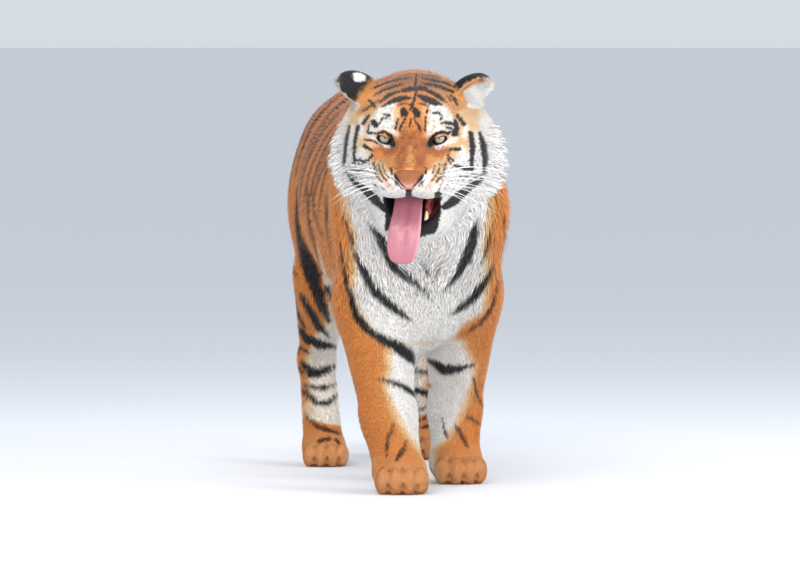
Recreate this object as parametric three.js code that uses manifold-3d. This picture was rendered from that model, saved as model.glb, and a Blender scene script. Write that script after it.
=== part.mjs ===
// Siberian tiger, life size, walking towards -Y with its head turned a little to its right, its mouth open and
// its tongue out. Millimetres, +Z up, +X to the animal's left, the four soles on z = 0. The surface is the outline
// of the coat. The animal is modelled whole as a distance field, faceted part by part and parted with thin cuts.
import * as THREE from "three";
import { mergeVertices } from "three/addons/utils/BufferGeometryUtils.js";
import Module from "manifold-3d";

// ---- Driving sizes ----
const SHOULDER_HEIGHT = 950, RUMP_HEIGHT = 930, BELLY_HEIGHT = 385;
const CHEST_WIDTH = 400, LOIN_WIDTH = 420, HIP_WIDTH = 330;
const GAPE = 29; // the lower jaw is this many degrees open
const EYE_RADIUS = 18.5, EYE_SPACING = 123;
const TONGUE_THICKNESS = 13;
const GAP = 0.3; // between pieces that touch
// Facet sizes along X, Y and Z
const CELL = {
  body: [68, 120, 66], thigh: [52, 62, 72], shin: [43, 46, 68], paw: [25, 29, 24],
  face: [24.5, 23.5, 24.5], cranium: [41, 50, 41], jaw: [29, 29, 29], nose: [16, 16, 16],
};

// ---- Distance fields: negative inside, millimetres ----
const length = (x, y, z) => Math.sqrt(x * x + y * y + z * z);
const rad = (degrees) => (degrees * Math.PI) / 180;
const clamp = (v, low, high) => Math.min(Math.max(v, low), high);

function smoothMin(a, b, k) {
  const h = clamp(0.5 + (0.5 * (b - a)) / k, 0, 1);
  return b * (1 - h) + a * h - k * h * (1 - h);
}
const smoothMax = (a, b, k) => -smoothMin(-a, -b, k);

// Ellipsoid: turned about Z, then leaned about Y, then tilted about X, in degrees.
function ball(centre, radii, { tilt = 0, turn = 0, lean = 0, blend = 30 } = {}) {
  const [cx, cy, cz] = centre, [rx, ry, rz] = radii;
  const [st, ct] = [Math.sin(rad(tilt)), Math.cos(rad(tilt))];
  const [su, cu] = [Math.sin(rad(turn)), Math.cos(rad(turn))];
  const [sl, cl] = [Math.sin(rad(lean)), Math.cos(rad(lean))];
  const distance = (px, py, pz) => {
    const dx = px - cx, dy = py - cy, dz = pz - cz;
    const x0 = dx * cu + dy * su, y0 = -dx * su + dy * cu;
    const x = x0 * cl - dz * sl, z0 = x0 * sl + dz * cl;
    const y = y0 * ct + z0 * st, z = -y0 * st + z0 * ct;
    const k0 = length(x / rx, y / ry, z / rz) + 1e-9;
    return (k0 * (k0 - 1)) / (length(x / (rx * rx), y / (ry * ry), z / (rz * rz)) + 1e-12);
  };
  return { distance, blend };
}

// Round cone from a to b; a flat below 1 narrows it in X.
function bone(a, b, ra, rb, { flat = 1, blend = 30 } = {}) {
  const [ax, ay, az] = a;
  const [ux, uy, uz] = [b[0] - ax, b[1] - ay, b[2] - az];
  const span = ux * ux + uy * uy + uz * uz;
  const distance = (px, py, pz) => {
    const x = px - ax, y = py - ay, z = pz - az;
    const h = clamp((x * ux + y * uy + z * uz) / span, 0, 1);
    return length((x - h * ux) / flat, y - h * uy, z - h * uz) - (ra + (rb - ra) * h);
  };
  return { distance, blend };
}

function blendAll(masses, x, y, z) {
  let d = masses[0].distance(x, y, z);
  for (let i = 1; i < masses.length; i++) d = smoothMin(d, masses[i].distance(x, y, z), masses[i].blend);
  return d;
}

// Smooth curve through (xs, ys), read linearly from a fine table.
function curve(xs, ys, samples = 160) {
  const slope = xs.map((_, i) => {
    const a = Math.max(i - 1, 0), b = Math.min(i + 1, xs.length - 1);
    return (ys[b] - ys[a]) / (xs[b] - xs[a]);
  });
  const start = xs[0], step = (xs[xs.length - 1] - start) / (samples - 1), out = [];
  for (let k = 0, i = 0; k < samples; k++) {
    const x = start + k * step;
    while (i < xs.length - 2 && x > xs[i + 1]) i++;
    const h = xs[i + 1] - xs[i], t = (x - xs[i]) / h, t2 = t * t, t3 = t2 * t;
    out.push((2 * t3 - 3 * t2 + 1) * ys[i] + (t3 - 2 * t2 + t) * h * slope[i]
      + (3 * t2 - 2 * t3) * ys[i + 1] + (t3 - t2) * h * slope[i + 1]);
  }
  return (x) => {
    const f = clamp((x - start) / step, 0, samples - 1.000001), i = Math.floor(f);
    return out[i] + (out[i + 1] - out[i]) * (f - i);
  };
}

// Smooth curve in space through [[x, y, z], radius] stations, numbered from 0.
function pathThrough(stations) {
  const at = stations.map((_, i) => i);
  const along = (pick) => curve(at, stations.map(pick), 14 * stations.length);
  const [x, y, z, r] = [0, 1, 2].map((i) => along(([p]) => p[i])).concat(along(([, radius]) => radius));
  return (t) => ({ at: [x(t), y(t), z(t)], radius: r(t) });
}

// ---- Trunk: sections along Y, which shrink a little towards the back line ----
// y, top z, bottom z, half width, taper
const TRUNK = [
  [-610, 790, 600, 100, 0.00],
  [-560, 870, 500, 145, 0.05],
  [-470, 925, 425, 172, 0.15],
  [-360, SHOULDER_HEIGHT, BELLY_HEIGHT + 10, 186, 0.28],
  [-200, 935, BELLY_HEIGHT, CHEST_WIDTH / 2, 0.30],
  [0, 905, BELLY_HEIGHT + 10, LOIN_WIDTH / 2, 0.25],
  [180, 905, BELLY_HEIGHT + 45, LOIN_WIDTH / 2, 0.22],
  [340, 925, 480, 192, 0.25],
  [480, RUMP_HEIGHT, 540, HIP_WIDTH / 2, 0.30],
  [570, 905, 600, 132, 0.25],
];
const column = (i) => TRUNK.map((row) => row[i]);
const [topLine, bottomLine, halfWidth, taper] = [1, 2, 3, 4].map((i) => curve(column(0), column(i)));
const TRUNK_FRONT = TRUNK[0][0], TRUNK_BACK = TRUNK[TRUNK.length - 1][0];

function trunkDistance(px, py, pz) {
  const y = clamp(py, TRUNK_FRONT, TRUNK_BACK);
  const top = topLine(y), bottom = bottomLine(y), half = (top - bottom) / 2;
  const z = (pz - (top + bottom) / 2) / half;
  const w = halfWidth(y) * (1 - taper(y) * (0.5 * clamp(z, -1, 1.2) + 0.15));
  const f = length(px / w, z, 0) + 1e-9;
  const d = (f * (f - 1)) / (length(px / (w * w), z / half, 0) + 1e-12);
  const past = Math.abs(py - y);
  return past > 0 ? (d > 0 ? length(d, past, 0) : past) : d;
}

const NECK = [
  ball([0, 560, 760], [125, 130, 145], { blend: 50 }), // rump
  bone([0, -460, 765], [-45, -800, 780], 180, 150, { flat: 0.93, blend: 90 }),
  bone([0, -500, 640], [-40, -790, 690], 165, 100, { flat: 0.95, blend: 80 }), // throat
  ball([0, -445, 430], [100, 125, 125], { blend: 50 }), // brisket
];

// ---- Legs ----
const TOES = [[-42, -38], [-15, -55], [15, -55], [42, -38]];
function paw([cx, cy, cz], heading, size) {
  const c = Math.cos(rad(heading)), s = Math.sin(rad(heading));
  const toes = TOES.map(([x, y]) => ball([x, y, -6], [21, 36, 33], { tilt: -10, blend: 12 }));
  const masses = [ball([0, 10, 6], [60, 70, 48], { tilt: -8 }), ...toes];
  const distance = (px, py, pz) => {
    const x = (px - cx) / size, y = (py - cy) / size, z = (pz - cz) / size;
    return size * blendAll(masses, x * c + y * s, -x * s + y * c, z);
  };
  return { distance, blend: 30 };
}

// blade: the mass of shoulder or ham; joints: shoulder or hip, elbow or knee, wrist or hock, knuckles,
// each a point and a radius.
function leg({ blade, joints, flats, toes, heading, pawSize = 1, heel = false }) {
  const masses = [blade];
  for (let i = 0; i < 3; i++) {
    const [[a, ra], [b, rb]] = [joints[i], joints[i + 1]];
    masses.push(bone(a, b, ra, rb, { flat: flats[i], blend: [60, 50, 30][i] }));
  }
  if (heel) {
    const [[hx, hy, hz]] = joints[2], [[kx, ky, kz]] = joints[1];
    masses.push(ball([hx, hy + 24, hz + 18], [32, 34, 50], { tilt: 20 }));
    masses.push(bone([kx, ky + 60, kz - 10], [hx, hy + 20, hz + 50], 70, 30, { flat: 0.7, blend: 40 }));
  }
  masses.push(paw(toes, heading, pawSize));
  const points = [...joints.map(([p]) => p), toes];
  const low = [0, 1, 2].map((i) => Math.min(...points.map((p) => p[i])) - 130);
  const high = [0, 1, 2].map((i) => Math.max(...points.map((p) => p[i])) + 160);
  return { masses, low, high };
}

// Far from the leg's box the distance to the box stands in for the leg.
function legDistance({ masses, low, high }, x, y, z) {
  const [dx, dy, dz] = [x, y, z].map((v, i) => Math.max(low[i] - v, v - high[i], 0));
  const away = length(dx, dy, dz);
  return away > 100 ? away + 20 : blendAll(masses, x, y, z);
}

const FORE_FLATS = [0.80, 0.95, 1.0], HIND_FLATS = [0.64, 0.85, 0.95];
const LEGS = {
  foreleg_right: leg({
    blade: ball([-98, -415, 735], [85, 125, 190], { tilt: -22 }),
    joints: [
      [[-100, -500, 640], 120], [[-100, -450, 430], 98], [[-79, -560, 170], 64], [[-66, -625, 62], 56],
    ],
    flats: FORE_FLATS, toes: [-63, -660, 37], heading: -4,
  }),
  foreleg_left: leg({
    blade: ball([98, -385, 735], [85, 125, 190], { tilt: -18 }),
    joints: [
      [[110, -480, 630], 120], [[118, -365, 440], 97], [[114, -262, 170], 62], [[114, -275, 62], 56],
    ],
    flats: FORE_FLATS, toes: [113, -310, 37], heading: 4,
  }),
  hindleg_right: leg({
    blade: ball([-92, 470, 650], [86, 165, 210], { tilt: 15 }),
    joints: [
      [[-100, 470, 620], 138], [[-126, 325, 460], 86], [[-121, 515, 250], 47], [[-118, 415, 66], 50],
    ],
    flats: HIND_FLATS, toes: [-118, 370, 33], heading: -3, pawSize: 0.9, heel: true,
  }),
  hindleg_left: leg({
    blade: ball([92, 490, 650], [86, 165, 210], { tilt: 5 }),
    joints: [
      [[100, 495, 620], 138], [[132, 415, 450], 86], [[141, 715, 290], 47], [[138, 665, 70], 50],
    ],
    flats: HIND_FLATS, toes: [140, 625, 33], heading: 3, pawSize: 0.9, heel: true,
  }),
};

const TAIL = [
  [[0, 640, 860], 58], [[10, 760, 800], 48], [[30, 855, 650], 42], [[55, 905, 480], 40],
  [[80, 960, 330], 39], [[100, 1050, 235], 38], [[110, 1160, 215], 36], [[112, 1240, 240], 30],
];
const TAIL_LINKS = 18;
const tailAt = pathThrough(TAIL);
const TAIL_BONES = Array.from({ length: TAIL_LINKS }, (_, k) => {
  const [a, b] = [k, k + 1].map((i) => tailAt((i * (TAIL.length - 1)) / TAIL_LINKS));
  return bone(a.at, b.at, a.radius, b.radius, { blend: 1 });
});

function coreDistance(x, y, z) {
  let d = trunkDistance(x, y, z);
  for (const m of NECK) d = smoothMin(d, m.distance(x, y, z), m.blend);
  return d;
}
// Trunk, neck, legs and tail. Each leg blends with the trunk and not with the leg beside it.
function bodyDistance(x, y, z) {
  const core = coreDistance(x, y, z);
  const limbs = Object.values(LEGS).map((limb) => smoothMin(core, legDistance(limb, x, y, z), 60));
  const d = Math.min(...limbs);
  return y > 450 ? smoothMin(d, blendAll(TAIL_BONES, x, y, z), 40) : Math.min(d, 550 - y);
}

// ---- Head: its own frame, with its origin between the eyes and -Y along the nose ----
const HEAD_AT = [-66, -900, 822];
const HEAD_TURN = { yaw: -12, pitch: 17, roll: 0.5 };
const dot = (a, b) => a[0] * b[0] + a[1] * b[1] + a[2] * b[2];
const multiply = (A, B) => A.map((row) => [0, 1, 2].map((j) => dot(row, B.map((other) => other[j]))));
function turned({ yaw, pitch, roll }) {
  const [cy, cp, cr] = [yaw, pitch, roll].map((a) => Math.cos(rad(a)));
  const [sy, sp, sr] = [yaw, pitch, roll].map((a) => Math.sin(rad(a)));
  const tilt = multiply([[1, 0, 0], [0, cp, -sp], [0, sp, cp]], [[cr, 0, sr], [0, 1, 0], [-sr, 0, cr]]);
  return multiply([[cy, -sy, 0], [sy, cy, 0], [0, 0, 1]], tilt);
}
const HEAD = turned(HEAD_TURN);
function toHead(x, y, z) {
  const a = x - HEAD_AT[0], b = y - HEAD_AT[1], c = z - HEAD_AT[2];
  return [0, 1, 2].map((j) => a * HEAD[0][j] + b * HEAD[1][j] + c * HEAD[2][j]);
}
const fromHead = (p) => HEAD.map((row, i) => HEAD_AT[i] + dot(row, p));

// The jaw has a frame of its own, which turns about the hinge as the mouth opens.
const HINGE = [95, -85];
const [gapeCos, gapeSin] = [Math.cos(rad(GAPE)), Math.sin(rad(GAPE))];
function toJaw(x, y, z) {
  const b = y - HINGE[0], c = z - HINGE[1];
  return [x, b * gapeCos + c * gapeSin + HINGE[0], -b * gapeSin + c * gapeCos + HINGE[1]];
}
function fromJaw([x, y, z]) {
  const b = y - HINGE[0], c = z - HINGE[1];
  return fromHead([x, b * gapeCos - c * gapeSin + HINGE[0], b * gapeSin + c * gapeCos + HINGE[1]]);
}

// Both halves of the head are alike, so its masses are given for the left half.
const SKULL = [
  ball([0, 100, 8], [118, 150, 96]), // cranium
  ball([0, 36, 26], [90, 75, 50], { tilt: -15 }), // forehead
  bone([0, 10, 0], [0, -100, -62], 42, 34), // bridge of the nose
  ball([43, -90, -84], [43, 46, 34], { tilt: -10, turn: 20, blend: 18 }), // whisker pad
  ball([0, -46, -68], [68, 80, 42]), // upper jaw
  ball([92, 46, -40], [57, 85, 64], { turn: -12, blend: 40 }), // cheek bone
  ball([133, 112, -74], [62, 75, 110], { turn: -10, lean: -10, blend: 50 }), // ruff
  ball([58, -8, 31], [34, 28, 18], { blend: 15 }), // brow
];
const EYE_AT = [EYE_SPACING / 2, -24, 0];
const ORBIT = ball([EYE_AT[0] - 2, -54, -1], [25, 22, 17], { blend: 14 });
const LIDS = ball(EYE_AT, [EYE_RADIUS + 5, EYE_RADIUS + 3, EYE_RADIUS + 2], { blend: 5 });
const LID_OPENING = { at: [EYE_AT[0], EYE_AT[1] - 20, EYE_AT[2]], radii: [15.5, 22, 8.8] };
const JAW = [
  bone([66, 60, -132], [48, -58, -134], 40, 27),
  bone([48, -58, -134], [0, -84, -136], 27, 26, { blend: 20 }),
  ball([0, -66, -150], [44, 34, 30], { blend: 20 }), // chin
  ball([0, 0, -150], [60, 90, 26]), // floor of the mouth
];
const MOUTH = ball([0, -50, -150], [59, 112, 42], { tilt: 20, blend: 8 });

function headDistance(hx, hy, hz) {
  const ax = Math.abs(hx);
  const [jx, jy, jz] = toJaw(ax, hy, hz);
  let d = smoothMax(blendAll(SKULL, ax, hy, hz), -ORBIT.distance(ax, hy, hz), ORBIT.blend);
  d = smoothMin(d, LIDS.distance(ax, hy, hz), LIDS.blend);
  return smoothMin(d, blendAll(JAW, jx, jy, jz), 12);
}

// Ears: cupped shells, each an ellipsoid hollowed by another. tip is the way the ear points and open the way
// its hollow faces. axes are the ear's own X, Y and Z in the head's frame; the hollow faces -Y.
const EAR_SHELL = { at: [0, 0, 30], radii: [49, 28, 58] };
const EAR_HOLLOW = { at: [0, -18, 36], radii: [39, 27, 45] };
const unit = (v) => v.map((c) => c / length(...v));
const cross = (a, b) => [a[1] * b[2] - a[2] * b[1], a[2] * b[0] - a[0] * b[2], a[0] * b[1] - a[1] * b[0]];
function ear({ at, tip, open }) {
  const up = unit(tip), side = unit(cross(up, open));
  return { at, axes: [side, cross(up, side), up] };
}
const EARS = {
  ear_right: ear({ at: [-98, 96, 58], tip: [-0.85, 0.15, 0.50], open: [-0.40, 0.25, -0.85] }),
  ear_left: ear({ at: [95, 96, 49], tip: [0.75, 0.05, 0.65], open: [0.60, -0.65, -0.45] }),
};

// Nose leather, wide above and narrow at the lip.
const NOSE = [
  ball([0, -126, -58], [38, 18, 17]),
  ball([0, -130, -74], [20, 15, 15], { blend: 12 }),
];
// The tongue comes forward over the lower lip and hangs: a strap whose thickness lies across its path.
const TONGUE = [
  [[-5, 55, -100], 29], [[-9, -5, -132], 31], [[-12, -46, -172], 33], [[-16, -76, -202], 36],
  [[-20, -88, -240], 35], [[-22, -88, -278], 22],
];
const LOWER_CANINE = [
  [[30, -38, -214], 7.5], [[30, -40, -196], 6.5], [[31, -38, -180], 4.5], [[31, -35, -168], 1.5],
];

function tigerDistance(x, y, z) {
  const [hx, hy, hz] = toHead(x, y, z);
  const away = length(hx, hy, hz);
  const body = bodyDistance(x, y, z);
  if (away > 550) return Math.min(body, away - 400);
  const d = smoothMin(body, headDistance(hx, hy, hz), 50);
  return smoothMax(d, -MOUTH.distance(hx, hy, hz), MOUTH.blend);
}

// ---- Surfaces ----
// Closed surface of a distance field inside a box. Each grid cell that the surface crosses gets one corner,
// which is then moved onto the surface, and each crossed grid edge gets one quad.
function surfaceOf(distance, [low, high], cell) {
  const inBox = (p) => Math.max(...p.map((v, i) => Math.max(low[i] - v, v - high[i])));
  const field = (p) => Math.max(distance(...p), inBox(p));
  const count = low.map((v, i) => Math.ceil((high[i] - v) / cell[i]) + 4);
  const point = (i, j, k) => [i, j, k].map((n, axis) => low[axis] + (n - 1.5) * cell[axis]);
  const at = (i, j, k) => (k * count[1] + j) * count[0] + i;
  const value = new Float64Array(count[0] * count[1] * count[2]);
  for (let k = 0; k < count[2]; k++)
    for (let j = 0; j < count[1]; j++)
      for (let i = 0; i < count[0]; i++) value[at(i, j, k)] = field(point(i, j, k));
  while (settle(value, count, at)) continue;

  const corners = [];
  const cornerOf = new Map();
  const edges = [];
  for (let a = 0; a < 8; a++)
    for (const bit of [1, 2, 4]) if (!(a & bit)) edges.push([a, a | bit]);
  const offset = (a) => [a & 1, (a >> 1) & 1, (a >> 2) & 1];
  for (let k = 0; k + 1 < count[2]; k++)
    for (let j = 0; j + 1 < count[1]; j++)
      for (let i = 0; i + 1 < count[0]; i++) {
        const sum = [0, 0, 0];
        let crossings = 0;
        for (const [a, b] of edges) {
          const [oa, ob] = [offset(a), offset(b)];
          const va = value[at(i + oa[0], j + oa[1], k + oa[2])];
          const vb = value[at(i + ob[0], j + ob[1], k + ob[2])];
          if (va < 0 === vb < 0) continue;
          const t = va / (va - vb);
          for (let axis = 0; axis < 3; axis++) sum[axis] += oa[axis] + t * (ob[axis] - oa[axis]);
          crossings++;
        }
        if (!crossings) continue;
        cornerOf.set(at(i, j, k), corners.length);
        const [x, y, z] = sum.map((v) => v / crossings);
        corners.push(ontoSurface(field, point(i + x, j + y, k + z), point(i, j, k), cell));
      }

  const triangles = [];
  for (let axis = 0; axis < 3; axis++) {
    const [u, v] = [(axis + 1) % 3, (axis + 2) % 3];
    for (let k = 1; k + 1 < count[2]; k++)
      for (let j = 1; j + 1 < count[1]; j++)
        for (let i = 1; i + 1 < count[0]; i++) {
          const n = [i, j, k], next = [...n];
          next[axis]++;
          const here = value[at(...n)], there = value[at(...next)];
          if (here < 0 === there < 0) continue;
          const around = [[-1, -1], [0, -1], [0, 0], [-1, 0]].map(([du, dv]) => {
            const c = [...n];
            c[u] += du;
            c[v] += dv;
            return cornerOf.get(at(...c));
          });
          const [p, q, r, s] = here < 0 ? around : around.reverse();
          const short = distanceBetween(corners[p], corners[r]) < distanceBetween(corners[q], corners[s]);
          triangles.push(...(short ? [p, q, r, p, r, s] : [p, q, s, q, r, s]));
        }
  }
  return solid(corners.flat(), triangles);
}
const distanceBetween = (a, b) => length(a[0] - b[0], a[1] - b[1], a[2] - b[2]);

// Where the inside corners of a grid face stand at opposite ends, the surface would touch itself: the outside
// corner nearest to the surface moves inside. Returns whether any did.
function settle(value, count, at) {
  let changed = false;
  for (let k = 0; k + 1 < count[2]; k++)
    for (let j = 0; j + 1 < count[1]; j++)
      for (let i = 0; i + 1 < count[0]; i++)
        for (const [u, v] of [[[1, 0, 0], [0, 1, 0]], [[0, 1, 0], [0, 0, 1]], [[0, 0, 1], [1, 0, 0]]]) {
          const face = [[0, 0], [1, 0], [1, 1], [0, 1]]
            .map(([a, b]) => at(i + a * u[0] + b * v[0], j + a * u[1] + b * v[1], k + a * u[2] + b * v[2]));
          const [a, b, c, d] = face.map((n) => value[n] < 0);
          if (a !== c || b !== d || a === b) continue;
          const [one, other] = face.filter((n) => value[n] >= 0);
          value[value[one] < value[other] ? one : other] = -1e-3;
          changed = true;
        }
  return changed;
}

// A few Newton steps along the slope of the field, which don't leave the cell.
function ontoSurface(field, start, corner, cell) {
  let p = start;
  const h = 0.5, inset = 0.04;
  for (let n = 0; n < 4; n++) {
    const d = field(p);
    const slope = [0, 1, 2].map((i) => {
      const ahead = [...p], behind = [...p];
      ahead[i] += h;
      behind[i] -= h;
      return (field(ahead) - field(behind)) / (2 * h);
    });
    const steep = Math.max(dot(slope, slope), 0.25);
    p = p.map((v, i) => {
      const margin = inset * cell[i];
      return clamp(v - (d / steep) * slope[i], corner[i] + margin, corner[i] + cell[i] - margin);
    });
  }
  return p;
}

// Strap along stations: an oval section as wide as the station's radius along X, and as thick as
// thickness(radius) across the path, closed by a point at each end. place takes it out of the head's frame.
function strap(stations, { rings, sides, thickness, place = fromHead }) {
  const at = pathThrough(stations), last = stations.length - 1;
  const points = [];
  for (let n = 0; n < rings; n++) {
    const t = (n * last) / (rings - 1);
    const { at: centre, radius } = at(t);
    const [ahead, behind] = [at(Math.min(t + 0.02, last)).at, at(Math.max(t - 0.02, 0)).at];
    const along = unit(ahead.map((v, i) => v - behind[i])), across = unit(cross(along, [1, 0, 0]));
    for (let m = 0; m < sides; m++) {
      const angle = (m / sides) * 2 * Math.PI;
      const [w, h] = [radius * Math.cos(angle), thickness(radius) * Math.sin(angle)];
      points.push(place([centre[0] + w, centre[1] + h * across[1], centre[2] + h * across[2]]));
    }
  }
  const tips = [at(0).at, at(last).at].map(place);
  const base = points.length, triangles = [];
  for (let m = 0; m < sides; m++) {
    const next = (m + 1) % sides;
    triangles.push(base, next, m, base + 1, (rings - 1) * sides + m, (rings - 1) * sides + next);
    for (let n = 0; n + 1 < rings; n++) {
      const [a, b] = [n * sides, (n + 1) * sides];
      triangles.push(a + m, a + next, b + next, a + m, b + next, b + m);
    }
  }
  return solid([...points, ...tips].flat(), triangles);
}

// ---- Solids ----
const wasm = await Module();
wasm.setup();
function solid(positions, triangles) {
  const made = new wasm.Manifold(new wasm.Mesh({
    numProp: 3, vertProperties: new Float32Array(positions), triVerts: new Uint32Array(triangles),
  }));
  if (made.volume() > 0) return made;
  const reversed = triangles.map((v, i) => triangles[i - (i % 3) + [0, 2, 1][i % 3]]);
  return solid(positions, reversed);
}
function solidOf(geometry) {
  geometry.deleteAttribute("normal");
  geometry.deleteAttribute("uv");
  const merged = mergeVertices(geometry, 1e-3);
  return solid([...merged.attributes.position.array], [...merged.index.array]);
}
const cutAll = (from, pieces) => pieces.reduce((rest, piece) => rest.subtract(piece), from);
const largest = (piece) => piece.decompose().sort((a, b) => b.volume() - a.volume())[0];

// Half of space behind a plane, as a block: normal points out of it, and grow moves its face out.
const REACH = 4000;
function behind([point, normal], grow = 0) {
  const out = new THREE.Vector3(...normal).normalize();
  const block = new THREE.BoxGeometry(REACH, REACH, REACH);
  block.applyQuaternion(new THREE.Quaternion().setFromUnitVectors(new THREE.Vector3(0, 0, 1), out));
  const shift = out.clone().multiplyScalar(grow - REACH / 2).add(new THREE.Vector3(...point));
  return solidOf(block.translate(shift.x, shift.y, shift.z));
}
const opposite = ([point, normal]) => [point, normal.map((c) => -c)];
// Space behind every plane of a list.
const region = (planes, grow = 0) => planes.map((plane) => behind(plane, grow))
  .reduce((common, half) => common.intersect(half));
// A piece cut where it meets another, then moved off it. In the head's frame, way points to the piece.
function resting(piece, other, way) {
  const out = unit(HEAD.map((row) => dot(row, way)));
  return piece.subtract(other).translate(out.map((c) => c * 2 * GAP));
}
// A piece with room on every side of another.
const CORNERS = [[1, 1, 1], [-1, -1, 1], [-1, 1, -1], [1, -1, -1]];
const moved = (piece, way) => piece.translate(way.map((c) => c * 1.8 * GAP));
const clearOf = (piece, other) => cutAll(piece, CORNERS.map((way) => moved(other, way)));
const keep = (piece, planes) => piece.intersect(region(planes, -GAP / 2));
const drop = (piece, planes) => piece.subtract(region(planes, GAP / 2));

// Ellipsoid in the head's frame, or in a frame within it.
function ellipsoid({ at, radii }, [around, rings], { at: origin = [0, 0, 0], axes } = {}) {
  const within = axes ? multiply(HEAD, HEAD.map((_, i) => axes.map((axis) => axis[i]))) : HEAD;
  const [x, y, z] = [0, 1, 2].map((j) => new THREE.Vector3(...within.map((row) => row[j])));
  const shape = new THREE.SphereGeometry(1, around, rings).rotateX(Math.PI / 2);
  shape.scale(...radii).translate(...at).applyMatrix4(new THREE.Matrix4().makeBasis(x, y, z));
  return solidOf(shape.translate(...fromHead(origin)));
}

// ---- Cuts: each plane is a point on it and the way it faces out of what it bounds ----
const BACK_OF_HEAD = [fromHead([0, 172, 0]), HEAD.map((row) => row[1])];
const FACE_BACK = [fromHead([0, 14, 0]), HEAD.map((row) => row[1])];
const NECK_BASE = [[0, -560, 700], [-0.05, 0.94, 0.28]];
const LOIN_FRONT = [[0, -140, 700], [0, 1, 0]];
const LOIN_BACK = [[0, 250, 700], [0, 1, 0]];
const TAIL_ROOT = [[0, 700, 830], [0, 1, 0]];
const TAIL_BENDS = [[[30, 850, 640], [0, 0.15, -1]], [[80, 960, 330], [0, 0.4, -1]]];
const ELBOW_Z = 288, KNEE_Z = 400, WRIST_Z = 108;
const below = (z) => [[0, 0, z], [0, 0, 1]];
const above = (z) => [[0, 0, z], [0, 0, -1]];
const hindOf = (y) => [[0, y, 0], [0, -1, 0]];
const foreOf = (y) => [[0, y, 0], [0, 1, 0]];
// The plane that parts a shoulder or thigh from the trunk rises outwards from beside the midline.
const flare = (side, x, z, rise) => [[side * x, 0, z], [-side * rise, 0, rise * 0.46]];
const SHOULDERS = {
  right: [flare(-1, 38, ELBOW_Z, 1), hindOf(-640), foreOf(-290)],
  left: [flare(1, 38, ELBOW_Z, 1), hindOf(-640), foreOf(-215)],
};
const THIGHS = {
  right: [flare(-1, 30, KNEE_Z, 1), hindOf(262)],
  left: [flare(1, 30, KNEE_Z, 1), hindOf(262)],
};
const MIDLINE = { right: [[0, 0, 0], [1, 0, 0]], left: [[0, 0, 0], [-1, 0, 0]] };

// ---- Nodes ----
const COAT = { colour: 0xd98a48, roughness: 0.95 };
const HORN = { colour: 0xb58d78, roughness: 0.6 };
const WET = { colour: 0xd98ca0, roughness: 0.4 };
const IVORY = { colour: 0xe9dcc0, roughness: 0.4 };
const GLASS = { colour: 0xa7a58c, roughness: 0.1 };
const CENTRE = [-9, 124]; // the middle of the finished animal's box, which becomes the origin
const tiger = new THREE.Group();
tiger.name = "siberian_tiger";
function addNode(name, piece, { colour, roughness }) {
  const made = largest(piece).getMesh();
  const geometry = new THREE.BufferGeometry();
  geometry.setAttribute("position", new THREE.BufferAttribute(made.vertProperties, 3));
  geometry.setIndex(new THREE.BufferAttribute(made.triVerts, 1));
  const mesh = new THREE.Mesh(geometry, new THREE.MeshStandardMaterial({ color: colour, roughness }));
  mesh.name = name;
  tiger.add(mesh);
}
tiger.position.set(-CENTRE[0], -CENTRE[1], 0);

// Trunk and neck
const bodyBox = [[-260, -780, 270], [260, 735, 1000]];
const whole = surfaceOf(bodyDistance, bodyBox, CELL.body);
const trunk = [[below(ELBOW_Z)], [below(KNEE_Z), hindOf(240)], SHOULDERS.right, SHOULDERS.left, THIGHS.right,
  THIGHS.left].reduce(drop, keep(whole, [TAIL_ROOT]));
addNode("neck", keep(trunk, [NECK_BASE, opposite(BACK_OF_HEAD)]), COAT);
addNode("trunk_front", keep(trunk, [LOIN_FRONT, opposite(NECK_BASE)]), COAT);
addNode("trunk_middle", keep(trunk, [LOIN_BACK, opposite(LOIN_FRONT)]), COAT);
addNode("trunk_rear", keep(trunk, [opposite(LOIN_BACK)]), COAT);

// Legs, each in three lengths, and the soles flat on the floor
const floor = behind(above(0));
for (const side of ["right", "left"]) {
  const half = side === "right" ? [-300, 10] : [-10, 300];
  const box = (y, z, ends) => [[half[0], y[0], z[0]], [half[1], y[1], z[1]], ends];
  const piece = (y, z, cell) => surfaceOf(bodyDistance, box(y, z), cell);
  const shoulder = piece([-680, -170], [240, 800], CELL.thigh);
  addNode(`shoulder_${side}`, keep(shoulder, [...SHOULDERS[side], above(ELBOW_Z), MIDLINE[side]]), COAT);
  const forearm = piece([-780, -130], [70, 330], CELL.shin);
  addNode(`forearm_${side}`, keep(forearm, [below(ELBOW_Z), above(WRIST_Z), MIDLINE[side]]), COAT);
  const forepaw = piece([-780, -130], [-40, 140], CELL.paw);
  addNode(`forepaw_${side}`, keep(forepaw, [below(WRIST_Z), MIDLINE[side]]).intersect(floor), COAT);
  const thigh = piece([220, 800], [360, 860], CELL.thigh);
  addNode(`thigh_${side}`, keep(thigh, [...THIGHS[side], above(KNEE_Z), MIDLINE[side]]), COAT);
  const shank = piece([220, 860], [70, 440], CELL.shin);
  addNode(`shank_${side}`, keep(shank, [below(KNEE_Z), above(WRIST_Z), MIDLINE[side]]), COAT);
  const hindpaw = piece([220, 860], [-40, 140], CELL.paw);
  addNode(`hindpaw_${side}`, keep(hindpaw, [below(WRIST_Z), MIDLINE[side]]).intersect(floor), COAT);
}

// Tail, in three lengths
const round = { rings: 22, sides: 12, thickness: (r) => r, place: (p) => p };
const tail = keep(strap(TAIL, round), [opposite(TAIL_ROOT)]);
const [firstBend, secondBend] = TAIL_BENDS;
addNode("tail_1", keep(tail, [firstBend]), COAT);
addNode("tail_2", keep(tail, [opposite(firstBend), secondBend]), COAT);
addNode("tail_3", keep(tail, [opposite(secondBend)]), COAT);

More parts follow.
